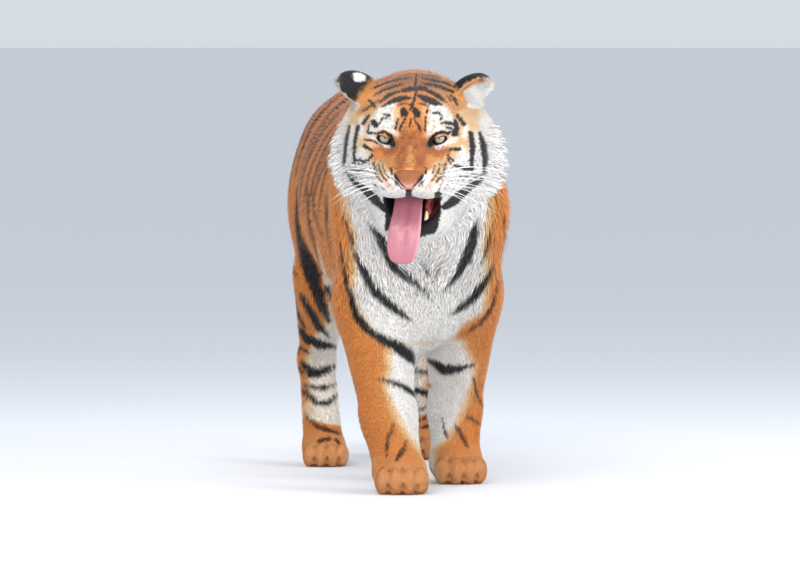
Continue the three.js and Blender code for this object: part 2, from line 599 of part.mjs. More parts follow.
// Head. Whatever rests on it is cut back to a surface just outside it.
const headBox = [[-290, -1090, 500], [190, -640, 1010]];
const headOf = (cell) => surfaceOf(tigerDistance, headBox, cell);
const eyeball = (side, grow = 0) => ellipsoid(
  { at: [side * EYE_AT[0], EYE_AT[1], EYE_AT[2]], radii: Array(3).fill(EYE_RADIUS + grow) }, [12, 8]);
const sockets = [-1, 1].flatMap((side) => {
  const mirrored = ([x, y, z]) => [side * x, y, z];
  return [eyeball(side, GAP), ellipsoid({ ...LID_OPENING, at: mirrored(LID_OPENING.at) }, [14, 8])];
});
const jawCut = [
  [fromJaw([0, 0, -98]), HEAD.map((row) => row[1] * -gapeSin + row[2] * gapeCos)],
  [fromJaw([0, -4, 0]), HEAD.map((row) => row[1] * gapeCos + row[2] * gapeSin)],
];
const cranium = drop(keep(headOf(CELL.cranium), [BACK_OF_HEAD, opposite(FACE_BACK)]), jawCut);
const face = drop(cutAll(keep(headOf(CELL.face), [FACE_BACK]), sockets), jawCut);
const jaw = keep(headOf(CELL.jaw), jawCut);
addNode("head", cranium, COAT);
addNode("face", face, COAT);
addNode("lower_jaw", jaw, COAT);
addNode("eye_right", eyeball(-1), GLASS);
addNode("eye_left", eyeball(1), GLASS);
for (const [name, frame] of Object.entries(EARS)) {
  const shell = ellipsoid(EAR_SHELL, [16, 10], frame).subtract(ellipsoid(EAR_HOLLOW, [14, 9], frame));
  addNode(name, resting(largest(shell), cranium, frame.axes[2]), COAT);
}
const noseAt = fromHead([0, -130, -62]);
const noseBox = [noseAt.map((v) => v - 60), noseAt.map((v) => v + 60)];
const leather = surfaceOf((...p) => blendAll(NOSE, ...toHead(...p)), noseBox, CELL.nose);
addNode("nose", resting(leather, face, [0, -1, 0]), HORN);
const tooth = strap(LOWER_CANINE, { rings: 5, sides: 8, thickness: (r) => r });
addNode("lower_canine_left", resting(tooth, jaw, [0, -gapeSin, gapeCos]), IVORY);
const tongue = strap(TONGUE, { rings: 12, sides: 10, thickness: () => TONGUE_THICKNESS / 2 });
addNode("tongue", [face, cranium, jaw].reduce(clearOf, tongue), WET);

export default tiger;
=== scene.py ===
"""Siberian tiger, life size, walking with its head turned a little aside, its mouth open and its tongue out.

The animal is one distance field, the same that shapes the solids: negative inside, in plan millimetres, with
the outline of the coat at zero. Its skin is that outline moved inwards by the depth of the coat, and tufts of
hair run from the skin out to the outline.
"""

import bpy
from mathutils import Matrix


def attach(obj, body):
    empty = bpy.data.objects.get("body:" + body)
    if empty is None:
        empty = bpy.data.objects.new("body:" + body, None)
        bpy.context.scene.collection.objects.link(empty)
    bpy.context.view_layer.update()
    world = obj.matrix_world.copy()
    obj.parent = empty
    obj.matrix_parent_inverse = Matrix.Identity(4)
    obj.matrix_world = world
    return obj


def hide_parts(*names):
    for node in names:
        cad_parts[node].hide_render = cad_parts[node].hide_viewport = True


bl_info = {
    "name": "Siberian Tiger",
    "version": (1, 0, 0),
    "blender": (4, 5, 0),
    "location": "View3D > Sidebar > Tiger",
    "description": "A still, life-size Siberian tiger with a coat of mesh tufts",
    "category": "Add Mesh",
}

import math

import bpy
import numpy as np
from mathutils import Vector

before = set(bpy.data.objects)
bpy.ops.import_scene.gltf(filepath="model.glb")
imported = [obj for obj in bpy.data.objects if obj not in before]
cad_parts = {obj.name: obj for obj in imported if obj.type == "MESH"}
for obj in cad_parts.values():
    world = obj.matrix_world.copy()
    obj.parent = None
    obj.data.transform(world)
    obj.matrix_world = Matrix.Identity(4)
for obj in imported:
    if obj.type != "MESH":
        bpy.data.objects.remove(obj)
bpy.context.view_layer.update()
REAL = np.float32

# ---- Plan: sizes in millimetres, shared with the solids ----
CENTRE = np.array([-9.0, 124.0, 0.0], REAL)  # the middle of the animal's box
SHOULDER_HEIGHT, RUMP_HEIGHT, BELLY_HEIGHT = 950, 930, 385
CHEST_WIDTH, LOIN_WIDTH, HIP_WIDTH = 400, 420, 330
GAPE = 29  # the lower jaw is this many degrees open
EYE_RADIUS, EYE_SPACING = 18.5, 123
TONGUE_THICKNESS = 13


def to_row(p):
    """Plan millimetres to metres in the frame: (p - centre) / 1000."""
    return (np.asarray(p, REAL) - CENTRE) / 1000


# ---- Distance fields ----
def dot(a, b):
    """Dot product of rows."""
    return np.einsum("...j,...j->...", a, b)


def unit(v):
    """Rows scaled to length 1."""
    return v / (np.sqrt(dot(v, v))[..., None] + 1e-12)


def ramp(v, start, end):
    """Smooth step: t^2 (3 - 2 t) with t running from 0 at start to 1 at end."""
    t = np.clip((v - start) / (end - start), 0, 1)
    return t * t * (3 - 2 * t)


def smooth_min(a, b, k):
    """Smaller of two distances, rounded over a width k where they meet."""
    h = np.clip(0.5 + 0.5 * (b - a) / k, 0, 1)
    return b * (1 - h) + a * h - k * h * (1 - h)


def smooth_max(a, b, k):
    return -smooth_min(-a, -b, k)


def mixed(a, b, share):
    """Rows of a with a share of b laid over them."""
    return a * (1 - share[..., None]) + np.asarray(b) * share[..., None]


def layered(colours, *layers):
    """Layers laid over colours in turn, each a colour in linear light and its share at each place."""
    for colour, share in layers:
        colours = mixed(colours, colour, share)
    return colours


def ball(at, radii, tilt=0.0, turn=0.0, lean=0.0, blend=30.0):
    """Ellipsoid turned about Z, leaned about Y, tilted about X: k (k - 1) / |q / r^2| with k = |q / r|."""
    angles = [math.radians(a) for a in (tilt, turn, lean)]
    (st, su, sl), (ct, cu, cl) = [math.sin(a) for a in angles], [math.cos(a) for a in angles]
    turned = np.array([[cu, su, 0], [-su, cu, 0], [0, 0, 1]])
    leaned = np.array([[cl, 0, -sl], [0, 1, 0], [sl, 0, cl]])
    tilted = np.array([[1, 0, 0], [0, ct, st], [0, -st, ct]])
    axes = (tilted @ leaned @ turned).T.astype(REAL)
    at, r = np.array(at, REAL), np.array(radii, REAL)

    def distance(p):
        q = (p - at) @ axes / r
        k = np.sqrt(dot(q, q)) + 1e-6
        g = q / r
        return k * (k - 1) / (np.sqrt(dot(g, g)) + 1e-9)

    return distance, blend


def bone(a, b, ra, rb, flat=1.0, blend=30.0):
    """Round cone from a to b: distance to the nearest point of the axis less the radius there."""
    a = np.array(a, REAL)
    axis = np.array(b, REAL) - a
    span = float(axis @ axis)

    def distance(p):
        q = p - a
        h = np.clip(q @ axis / span, 0, 1)
        q = q - h[:, None] * axis
        if flat != 1.0:
            q[:, 0] /= flat
        return np.sqrt(dot(q, q)) - (ra + (rb - ra) * h)

    return distance, blend


def blend_all(masses, p):
    """Masses joined one after another, each with its own rounding."""
    d = masses[0][0](p)
    for distance, blend in masses[1:]:
        d = smooth_min(d, distance(p), blend)
    return d


def curve(xs, ys, samples=160):
    """Smooth curve through (xs, ys): cubic Hermite pieces with the slope of each point's neighbours."""
    xs, ys = np.array(xs, float), np.array(ys, float)
    before, after = np.maximum(np.arange(len(xs)) - 1, 0), np.minimum(np.arange(len(xs)) + 1, len(xs) - 1)
    slope = (ys[after] - ys[before]) / (xs[after] - xs[before])
    at = np.linspace(xs[0], xs[-1], samples)
    i = np.clip(np.searchsorted(xs, at, "right") - 1, 0, len(xs) - 2)
    h = xs[i + 1] - xs[i]
    t = (at - xs[i]) / h
    values = ((2 * t**3 - 3 * t**2 + 1) * ys[i] + (t**3 - 2 * t**2 + t) * h * slope[i]
              + (3 * t**2 - 2 * t**3) * ys[i + 1] + (t**3 - t**2) * h * slope[i + 1])
    return lambda x: np.interp(x, at, values)


def path_through(stations):
    """Smooth curve in space through ((x, y, z), radius) stations numbered from 0: gives points and radii."""
    number = np.arange(len(stations))
    table = np.array([[*at, radius] for at, radius in stations])
    curves = [curve(number, table[:, i], 14 * len(stations)) for i in range(4)]
    return lambda t: (np.stack([c(t) for c in curves[:3]], 1), curves[3](t))


# Trunk sections: y, top z, bottom z, half width, taper towards the back line
TRUNK = np.array([
    [-610, 790, 600, 100, 0.00], [-560, 870, 500, 145, 0.05], [-470, 925, 425, 172, 0.15],
    [-360, SHOULDER_HEIGHT, BELLY_HEIGHT + 10, 186, 0.28], [-200, 935, BELLY_HEIGHT, CHEST_WIDTH / 2, 0.30],
    [0, 905, BELLY_HEIGHT + 10, LOIN_WIDTH / 2, 0.25], [180, 905, BELLY_HEIGHT + 45, LOIN_WIDTH / 2, 0.22],
    [340, 925, 480, 192, 0.25], [480, RUMP_HEIGHT, 540, HIP_WIDTH / 2, 0.30], [570, 905, 600, 132, 0.25],
])
top_line, bottom_line, half_width, taper = [curve(TRUNK[:, 0], TRUNK[:, i]) for i in (1, 2, 3, 4)]


def trunk(p):
    """Oval sections along Y, narrower towards the back line, closed flat at both ends."""
    y = np.clip(p[:, 1], TRUNK[0, 0], TRUNK[-1, 0])
    top, bottom = top_line(y), bottom_line(y)
    half = (top - bottom) / 2
    z = (p[:, 2] - (top + bottom) / 2) / half
    w = half_width(y) * (1 - taper(y) * (0.5 * np.clip(z, -1, 1.2) + 0.15))
    f = np.hypot(p[:, 0] / w, z) + 1e-6
    d = f * (f - 1) / (np.hypot(p[:, 0] / w**2, z / half) + 1e-9)
    past = np.abs(p[:, 1] - y)
    return np.where(past > 0, np.where(d > 0, np.hypot(d, past), past), d)


NECK = [
    ball([0, 560, 760], [125, 130, 145], blend=50),
    bone([0, -460, 765], [-45, -800, 780], 180, 150, flat=0.93, blend=90),
    bone([0, -500, 640], [-40, -790, 690], 165, 100, flat=0.95, blend=80),
    ball([0, -445, 430], [100, 125, 125], blend=50),
]
TOES = [(-42, -38), (-15, -55), (15, -55), (42, -38)]
CREASES = [(-29, -60), (0, -68), (29, -60)]


def paw(at, heading, size):
    """A pad and four toes with a crease between each two, turned by heading and scaled by size."""
    c, s = math.cos(math.radians(heading)), math.sin(math.radians(heading))
    turn = np.array([[c, -s, 0], [s, c, 0], [0, 0, 1]], REAL)
    masses = [ball([0, 10, 6], [60, 70, 48], tilt=-8)]
    masses += [ball([x, y, -6], [21, 36, 33], tilt=-10, blend=12) for x, y in TOES]
    creases = [bone([x * 0.95, y + 14, 24], [x, y - 8, -24], 0.5, 2.6) for x, y in CREASES]
    at = np.array(at, REAL)

    def distance(p):
        q = (p - at) @ turn / size
        d = blend_all(masses, q)
        for crease, _ in creases:
            d = smooth_max(d, -crease(q), 7)
        return size * d

    return distance, 30.0


LEG_ROOM_BELOW, LEG_ROOM_ABOVE = 130, 160  # from a leg's joints to the sides of its box
LEG_REACH = 160  # a leg further off than this does not shape the body


def leg(blade, joints, flats, toes, heading, paw_size=1.0, heel=False):
    """Masses of a leg from shoulder or hip to paw, their box, and the leg's joints from the paw up."""
    masses = [blade]
    for (a, ra), (b, rb), flat, blend in zip(joints, joints[1:], flats, (60, 50, 30)):
        masses.append(bone(a, b, ra, rb, flat, blend))
    if heel:
        (hx, hy, hz), (kx, ky, kz) = joints[2][0], joints[1][0]
        masses.append(ball([hx, hy + 24, hz + 18], [32, 34, 50], tilt=20))
        masses.append(bone([kx, ky + 60, kz - 10], [hx, hy + 20, hz + 50], 70, 30, flat=0.7, blend=40))
    masses.append(paw(toes, heading, paw_size))
    points = np.array([at for at, _ in joints] + [toes], REAL)
    return {"masses": masses, "toes": toes, "line": np.array([at for at, _ in joints[::-1]], float),
            "low": points.min(0) - LEG_ROOM_BELOW, "high": points.max(0) + LEG_ROOM_ABOVE}


FORE_FLATS, HIND_FLATS = (0.80, 0.95, 1.0), (0.64, 0.85, 0.95)
LEGS = {
    "fore_right": leg(
        ball([-98, -415, 735], [85, 125, 190], tilt=-22),
        [([-100, -500, 640], 120), ([-100, -450, 430], 98), ([-79, -560, 170], 64), ([-66, -625, 62], 56)],
        FORE_FLATS, [-63, -660, 37], -4),
    "fore_left": leg(
        ball([98, -385, 735], [85, 125, 190], tilt=-18),
        [([110, -480, 630], 120), ([118, -365, 440], 97), ([114, -262, 170], 62), ([114, -275, 62], 56)],
        FORE_FLATS, [113, -310, 37], 4),
    "hind_right": leg(
        ball([-92, 470, 650], [86, 165, 210], tilt=15),
        [([-100, 470, 620], 138), ([-126, 325, 460], 86), ([-121, 515, 250], 47), ([-118, 415, 66], 50)],
        HIND_FLATS, [-118, 370, 33], -3, 0.9, True),
    "hind_left": leg(
        ball([92, 490, 650], [86, 165, 210], tilt=5),
        [([100, 495, 620], 138), ([132, 415, 450], 86), ([141, 715, 290], 47), ([138, 665, 70], 50)],
        HIND_FLATS, [140, 625, 33], 3, 0.9, True),
}
TAIL = [
    ([0, 640, 860], 58), ([10, 760, 800], 48), ([30, 855, 650], 42), ([55, 905, 480], 40),
    ([80, 960, 330], 39), ([100, 1050, 235], 38), ([110, 1160, 215], 36), ([112, 1240, 240], 30),
]
TAIL_POINTS, TAIL_RADII = path_through(TAIL)(np.linspace(0, len(TAIL) - 1, 19))
TAIL_BONES = [bone(a, b, ra, rb, blend=1.0)
              for a, b, ra, rb in zip(TAIL_POINTS, TAIL_POINTS[1:], TAIL_RADII, TAIL_RADII[1:])]


def side_of(name):
    """Sign of X on the side that a name ends with."""
    return -1 if name.endswith("right") else 1


def leg_axis(name, z):
    """X and Y of a leg's axis at heights z."""
    line = LEGS[name]["line"]
    return [np.interp(z, line[:, 2], line[:, i]) for i in (0, 1)]


def nearest_on_tail(p):
    """Number of the tail's point that lies nearest."""
    return ((p[:, None] - TAIL_POINTS[None]) ** 2).sum(2).argmin(1)


def leg_distance(limb, p):
    """Distance to a leg; far from its box, the distance to the box stands in for it."""
    away = np.sqrt((np.maximum(np.maximum(limb["low"] - p, p - limb["high"]), 0) ** 2).sum(1))
    d = away + 20
    near = away <= LEG_REACH
    if near.any():
        d[near] = blend_all(limb["masses"], p[near])
    return d


def body(p):
    """Trunk, neck, legs and tail. A leg blends with the trunk and not with the leg beside it."""
    core = trunk(p)
    for distance, blend in NECK:
        core = smooth_min(core, distance(p), blend)
    d = np.minimum.reduce([smooth_min(core, leg_distance(limb, p), 60) for limb in LEGS.values()])
    behind = p[:, 1] > 450
    ahead = np.minimum(d, 550 - p[:, 1])
    if behind.any():
        ahead[behind] = smooth_min(d[behind], blend_all(TAIL_BONES, p[behind]), 40)
    return ahead


# Head: its own frame, with its origin between the eyes and -Y along the nose
HEAD_AT = np.array([-66, -900, 822], REAL)


def turned(yaw, pitch, roll):
    """Rotation about Z by yaw after one about X by pitch after one about Y by roll."""
    angles = [math.radians(a) for a in (yaw, pitch, roll)]
    (sy, sp, sr), (cy, cp, cr) = [math.sin(a) for a in angles], [math.cos(a) for a in angles]
    about_z = np.array([[cy, -sy, 0], [sy, cy, 0], [0, 0, 1]])
    about_x = np.array([[1, 0, 0], [0, cp, -sp], [0, sp, cp]])
    about_y = np.array([[cr, 0, sr], [0, 1, 0], [-sr, 0, cr]])
    return (about_z @ about_x @ about_y).astype(REAL)


HEAD = turned(-12, 17, 0.5)


def to_head(p):
    return (p - HEAD_AT) @ HEAD


def from_head(h):
    return np.asarray(h, REAL) @ HEAD.T + HEAD_AT


HINGE = np.array([0, 95, -85], REAL)
JAW_TURN = turned(0, GAPE, 0)
SKULL = [
    ball([0, 100, 8], [118, 150, 96]),
    ball([0, 36, 26], [90, 75, 50], tilt=-15),
    bone([0, 10, 0], [0, -100, -62], 42, 34),
    ball([43, -90, -84], [43, 46, 34], tilt=-10, turn=20, blend=18),
    ball([0, -46, -68], [68, 80, 42]),
    ball([92, 46, -40], [57, 85, 64], turn=-12, blend=40),
    ball([133, 112, -74], [62, 75, 110], turn=-10, lean=-10, blend=50),
    ball([58, -8, 31], [34, 28, 18], blend=15),
]
EYE_AT = np.array([EYE_SPACING / 2, -24, 0], REAL)
ORBIT = ball(EYE_AT + [-2, -30, -1], [25, 22, 17], blend=14)
LIDS = ball(EYE_AT, [EYE_RADIUS + 5, EYE_RADIUS + 3, EYE_RADIUS + 2], blend=5)
LID_OPENING = ball(EYE_AT + [0, -20, -1.0], [16.5, 24, 6.1], lean=-21)
EYE_CORNER = bone(EYE_AT + [-14, -22, -5], EYE_AT + [-26, -19, -14], 4.0, 1.5)
JAW = [
    bone([66, 60, -132], [48, -58, -134], 40, 27),
    bone([48, -58, -134], [0, -84, -136], 27, 26, blend=20),
    ball([0, -66, -150], [44, 34, 30], blend=20),
    ball([0, 0, -150], [60, 90, 26]),
]
MOUTH = ball([0, -50, -150], [59, 112, 42], tilt=20, blend=8)
NOSE = [ball([0, -126, -58], [38, 18, 17]), ball([0, -130, -74], [20, 15, 15], blend=12)]
# Folds that the lifted lip draws beside the nose and below the eye, and the cleft of the lip
FOLDS = [
    (bone([27, -62, -34], [57, -72, -62], 2.5, 3.5)[0], 12),
    (bone([22, -40, -20], [40, -44, -34], 2.0, 2.0)[0], 10),
    (bone([34, -104, -56], [27, -130, -78], 2.0, 3.0)[0], 8),
    (bone([0, -150, -90], [0, -140, -108], 2.5, 2.5)[0], 5),
    (EYE_CORNER[0], 5),
]
EAR_SHELL = ball([0, 0, 30], [49, 28, 58])
EAR_HOLLOW = ball([0, -18, 36], [39, 27, 45])


EAR_MIDDLE = 34  # from an ear's base, towards its tip
HEAD_REACH = 420  # the head shapes the field within this distance of its origin
HEAD_ROOM = 330  # and all of it lies within this one
HEAD_HAIR = 300  # hair with its root within this one is marked and parted as the head's


def ear_frame(at, tip, opening):
    """An ear's base and its own X, Y and Z in the head's frame: Z towards the tip, the hollow facing -Y."""
    up = unit(np.array(tip, REAL))
    side = unit(np.cross(up, unit(np.array(opening, REAL))))
    return np.array(at, REAL), np.stack([side, np.cross(up, side), up]).astype(REAL)


EARS = [
    ear_frame([-98, 96, 58], [-0.85, 0.15, 0.50], [-0.40, 0.25, -0.85]),
    ear_frame([95, 96, 49], [0.75, 0.05, 0.65], [0.60, -0.65, -0.45]),
]


def in_ear(ear, h):
    """Head coordinates in an ear's own frame."""
    at, axes = ear
    return ((h - at) @ axes.T).astype(REAL)


def from_ear(ear, h):
    """Distance from the middle of an ear."""
    at, axes = ear
    return np.sqrt(((h - at - EAR_MIDDLE * axes[2]) ** 2).sum(1))


def ear_shell(ear, h):
    """Cupped shell: an ellipsoid hollowed by another."""
    e = in_ear(ear, h)
    return smooth_max(EAR_SHELL[0](e), -EAR_HOLLOW[0](e), 5)


def mirrored(h):
    """Head coordinates with both sides laid on the left one."""
    a = h.copy()
    a[:, 0] = np.abs(h[:, 0])
    return a


def head(h, behind):
    """Skull and jaw blended with the body behind them, then the orbits, lids and folds of the face, alike on
    both sides, and the open mouth."""
    a = mirrored(h)
    d = smooth_min(blend_all(SKULL, a), blend_all(JAW, (a - HINGE) @ JAW_TURN + HINGE), 12)
    d = smooth_min(behind, d, 50)
    d = smooth_max(d, -ORBIT[0](a), ORBIT[1])
    d = smooth_min(d, LIDS[0](a), LIDS[1])
    for fold, width in FOLDS:
        d = smooth_max(d, -fold(a), width)
    d = smooth_max(d, -LID_OPENING[0](a), 2.5)
    return smooth_max(d, -MOUTH[0](h), MOUTH[1])


def outline(p):
    """The whole animal's outline, with its ears and its open mouth."""
    h = to_head(p)
    away = np.sqrt(dot(h, h))
    d = body(p)
    near = away < HEAD_REACH
    d = np.where(near, d, np.minimum(d, away - HEAD_ROOM))
    if near.any():
        h = h[near]
        b = head(h, d[near])
        for ear in EARS:
            b = smooth_min(b, ear_shell(ear, h), 14)
        d[near] = b
    return d


def coat_depth(p):
    """Depth of the coat in millimetres: 8 on the trunk, 13 on the chest, up to 17 on the ruff, 5 on the legs,
    3 on the paws, and from 7 on the crown down to 1 on the muzzle."""
    h = to_head(p)
    y, z = p[:, 1], p[:, 2]
    depth = 8 - 2.5 * ramp(z, 520, 280) - 2.5 * ramp(z, 150, 70)
    depth += 5 * ramp(y, -360, -520) * ramp(z, 360, 520)
    depth += 3 * ramp(z, 480, 420) * ramp(z, 340, 380) * ramp(np.abs(y), 420, 300)
    wide = np.abs(h[:, 0])
    on_head = 0.9 + 2.4 * ramp(h[:, 1], -50, 60) + 4 * ramp(h[:, 1], 60, 150)
    on_head += 10 * ramp(wide, 100, 140) * ramp(h[:, 2], 25, -40) * ramp(h[:, 1], 20, 80)
    on_head += 8 * ramp(h[:, 2], -130, -200) * ramp(h[:, 1], -70, 50)
    on_head += 3 * ramp(h[:, 2], -190, -215) * ramp(h[:, 1], -40, -90)
    eye = mirrored(h) - EYE_AT
    on_head = 0.8 + (on_head - 0.8) * ramp(np.sqrt(dot(eye, eye)), 24, 60)
    for ear in EARS:
        on_head = on_head + (np.minimum(on_head, 1.8) - on_head) * ramp(from_ear(ear, h), 74, 58)
    on_head = 0.7 + (on_head - 0.7) * ramp(MOUTH[0](h), 2, 22)
    blend = ramp(h[:, 1], 120, 190) + ramp(dot(h, h), 260**2, 300**2)
    return on_head + (depth - on_head) * np.clip(blend, 0, 1)


def skin(p):
    """The skin: the outline moved in by the coat's depth, level with the floor under the paws."""
    return smooth_max(outline(p) + coat_depth(p), -p[:, 2], 3)


def in_chunks(function, p, size=60000):
    """A function of points, worked out in pieces that fit the cache."""
    return np.concatenate([function(p[i:i + size]) for i in range(0, len(p), size)])


def gradient(function, p, step=0.6):
    """Values of a field at points, and its slope by forward differences."""
    d = in_chunks(function, p)
    shifts = step * np.eye(3, dtype=REAL)
    return d, np.stack([(in_chunks(function, p + s) - d) / step for s in shifts], 1)


def onto(function, p, steps=3, reach=6.0):
    """Newton steps along the slope: p - d g / |g|^2, none longer than reach."""
    for _ in range(steps):
        d, g = gradient(function, p)
        move = -(d / np.maximum(dot(g, g), 0.3))[:, None] * g
        length = np.sqrt(dot(move, move))[:, None]
        p = p + move * np.minimum(1, reach / (length + 1e-6))
    return p.astype(REAL)


# ---- Surface of a field ----
LATTICE_LOW = np.array([-264, -1084, -24], REAL)
LATTICE_HIGH = np.array([228, 1304, 996], REAL)
RATIO = 3  # fine cells along a coarse one
BAND = 22  # the fine lattice is filled this far from the skin
FINE_BOXES = [(np.array([-260, -1080, 500]), np.array([170, -690, 1000]))]
FINE_BOXES += [(np.array(limb["toes"]) - [80, 110, 50], np.array(limb["toes"]) + [80, 90, 60])
               for limb in LEGS.values()]


def spread(values, axis, ratio):
    """Values on a lattice, drawn out ratio times along an axis by straight interpolation."""
    total = (values.shape[axis] - 1) * ratio + 1
    at = np.arange(total) / ratio
    i = np.minimum(at.astype(int), values.shape[axis] - 2)
    t = (at - i).astype(REAL).reshape([-1 if a == axis else 1 for a in range(3)])
    return np.take(values, i, axis) * (1 - t) + np.take(values, i + 1, axis) * t


CELL_CORNERS = np.array([[a & 1, (a >> 1) & 1, (a >> 2) & 1] for a in range(8)])


def lattice_points(low, index, cell):
    return (low + index * cell).astype(REAL)


def lattice_values(cell):
    """The skin's field on the lattice: worked out on a coarse one, spread to the fine one, and worked out
    again near the skin in the fine boxes."""
    coarse = cell * RATIO
    count = np.ceil((LATTICE_HIGH - LATTICE_LOW) / coarse).astype(int) + 1
    index = np.stack(np.meshgrid(*[np.arange(n) for n in count], indexing="ij"), -1).reshape(-1, 3)
    values = in_chunks(skin, lattice_points(LATTICE_LOW, index, coarse)).astype(REAL).reshape(count)
    for axis in range(3):
        values = spread(values, axis, RATIO)
    for low, high in FINE_BOXES:
        a = np.maximum(((low - LATTICE_LOW) / cell).astype(int), 0)
        b = np.minimum(((high - LATTICE_LOW) / cell).astype(int) + 1, values.shape)
        part = values[a[0]:b[0], a[1]:b[1], a[2]:b[2]]
        near = np.argwhere(np.abs(part) < BAND)
        part[tuple(near.T)] = in_chunks(skin, lattice_points(LATTICE_LOW, near + a, cell))
    return values


def crossed_cells(values, inside):
    """Cells that the skin crosses, and in each the mean of the places where it crosses the cell's edges."""
    shape = np.array(values.shape) - 1
    full = np.zeros(shape, np.uint8)
    for o in CELL_CORNERS:
        full += inside[o[0]:o[0] + shape[0], o[1]:o[1] + shape[1], o[2]:o[2] + shape[2]]
    cells = np.argwhere((full > 0) & (full < 8))
    at_corner = np.stack([values[tuple((cells + o).T)] for o in CELL_CORNERS], 1)
    total, crossings = np.zeros((len(cells), 3)), np.zeros(len(cells))
    edges = [(a, a | bit) for a in range(8) for bit in (1, 2, 4) if not a & bit]
    for a, b in edges:
        va, vb = at_corner[:, a], at_corner[:, b]
        crossed = (va < 0) != (vb < 0)
        t = np.where(crossed, va / np.where(crossed, va - vb, 1), 0)
        total += crossed[:, None] * (CELL_CORNERS[a] + t[:, None] * (CELL_CORNERS[b] - CELL_CORNERS[a]))
        crossings += crossed
    return cells, cells + total / crossings[:, None]


def merged_corners(cells, points, cell, shape):
    """Corners of the surface: one for each crossed cell in the fine boxes, and elsewhere one for each coarse
    cell. Gives them and the number of each cell's corner."""
    block = cells // RATIO
    middle = LATTICE_LOW + (block + 0.5) * (cell * RATIO)
    fine = np.zeros(len(cells), bool)
    for low, high in FINE_BOXES:
        fine |= ((middle > low) & (middle < high)).all(1)
    number = np.ravel_multi_index(cells.T, shape)
    block_number = np.ravel_multi_index(block.T, shape // RATIO + 1) + np.prod(shape + 1)
    _, corner = np.unique(np.where(fine, number, block_number), return_inverse=True)
    weight = np.bincount(corner)
    merged = np.stack([np.bincount(corner, points[:, i]) / weight for i in range(3)], 1).astype(REAL)
    corner_of = np.full(shape, -1, np.int32)
    corner_of[tuple(cells.T)] = corner
    return merged, corner_of


def quads_round_edges(inside, corner_of):
    """A quad of corners round each lattice edge that the skin crosses, wound outwards."""
    quads = []
    for axis in range(3):
        u, v = (axis + 1) % 3, (axis + 2) % 3
        here = [slice(1, -1)] * 3
        here[axis] = slice(0, -1)
        there = list(here)
        there[axis] = slice(1, None)
        crossed = np.argwhere(inside[tuple(here)] != inside[tuple(there)])
        crossed += [0 if a == axis else 1 for a in range(3)]
        round_edge = []
        for du, dv in ((-1, -1), (0, -1), (0, 0), (-1, 0)):
            near = crossed.copy()
            near[:, u] += du
            near[:, v] += dv
            round_edge.append(corner_of[tuple(near.T)])
        quad = np.stack(round_edge, 1)
        outward = inside[tuple(crossed.T)]
        quads.append(np.where(outward[:, None], quad, quad[:, ::-1]))
    return np.concatenate(quads)


def skin_surface(cell):
    """Surface nets on a lattice: a corner in each cell that the skin crosses and a quad round each crossed
    edge, split along its shorter diagonal."""
    values = lattice_values(cell)
    inside = values < 0
    cells, places = crossed_cells(values, inside)
    points = LATTICE_LOW + places * cell
    merged, corner_of = merged_corners(cells, points, cell, np.array(values.shape) - 1)
    quads = quads_round_edges(inside, corner_of)
    p, q, r, s = [merged[quads[:, i]] for i in range(4)]
    short = (((p - r) ** 2).sum(1) < ((q - s) ** 2).sum(1))[:, None]
    first = np.where(short, quads[:, [0, 1, 2]], quads[:, [0, 1, 3]])
    second = np.where(short, quads[:, [0, 2, 3]], quads[:, [1, 2, 3]])
    return onto(skin, merged), proper(np.concatenate([first, second]))


def proper(triangles):
    """Triangles with three different corners."""
    a, b, c = triangles.T
    return triangles[(a != b) & (b != c) & (c != a)]


def refine(points, triangles, wanted, limit):
    """Splits every edge between wanted points that is longer than limit, and each triangle with it."""
    edges = np.sort(triangles[:, [[0, 1], [1, 2], [2, 0]]].reshape(-1, 2), 1)
    unique, which = np.unique(edges, axis=0, return_inverse=True)
    gap = points[unique[:, 0]] - points[unique[:, 1]]
    split = wanted[unique].all(1) & (np.sqrt(dot(gap, gap)) > limit)
    middle = np.full(len(unique), -1)
    middle[split] = len(points) + np.arange(split.sum())
    added = points[unique[split]].mean(1)
    m = middle[which.reshape(-1, 3)]
    # Each triangle is turned so that its first edge is split and, of two, the second is too.
    cut = m >= 0
    turn = np.select([cut.sum(1) == 1, cut.sum(1) == 2], [cut.argmax(1), (np.argmin(cut, 1) + 1) % 3], 0)
    order = (turn[:, None] + np.arange(3)) % 3
    t, m = np.take_along_axis(triangles, order, 1), np.take_along_axis(m, order, 1)
    a, b, c = t.T
    ab, bc, ca = m.T
    n = cut.sum(1)
    one, two, three = n == 1, n == 2, n == 3
    rows = [t[n == 0]]
    for keep, sets in (
        (one, [(a, ab, c), (ab, b, c)]),
        (two, [(ab, b, bc), (a, ab, bc), (a, bc, c)]),
        (three, [(a, ab, ca), (ab, b, bc), (ca, bc, c), (ab, bc, ca)]),
    ):
        rows += [np.stack(s, 1)[keep] for s in sets]
    return np.concatenate([points, added]).astype(REAL), np.concatenate(rows)


def smooth_normals(points, triangles):
    """Normal of each point: the sum of its triangles' cross products, made one long."""
    a, b, c = [points[triangles[:, i]] for i in range(3)]
    cross = np.cross(b - a, c - a)
    total = np.zeros(points.shape)
    for i in range(3):
        for j in range(3):
            total[:, j] += np.bincount(triangles[:, i], cross[:, j], len(points))
    return unit(total).astype(REAL)


def ripple(p, wavelength, seed, waves=7):
    """Smooth noise between about -1 and 1: the mean of sine waves in random directions."""
    rng = np.random.default_rng(seed)
    ways = unit(rng.normal(size=(waves, 3))) * rng.uniform(0.7, 1.5, (waves, 1)) * 2 * math.pi / wavelength
    swings = np.sin(p @ ways.T.astype(REAL) + rng.uniform(0, 2 * math.pi, waves))
    return (swings.sum(1) / waves * 2.2).astype(REAL)


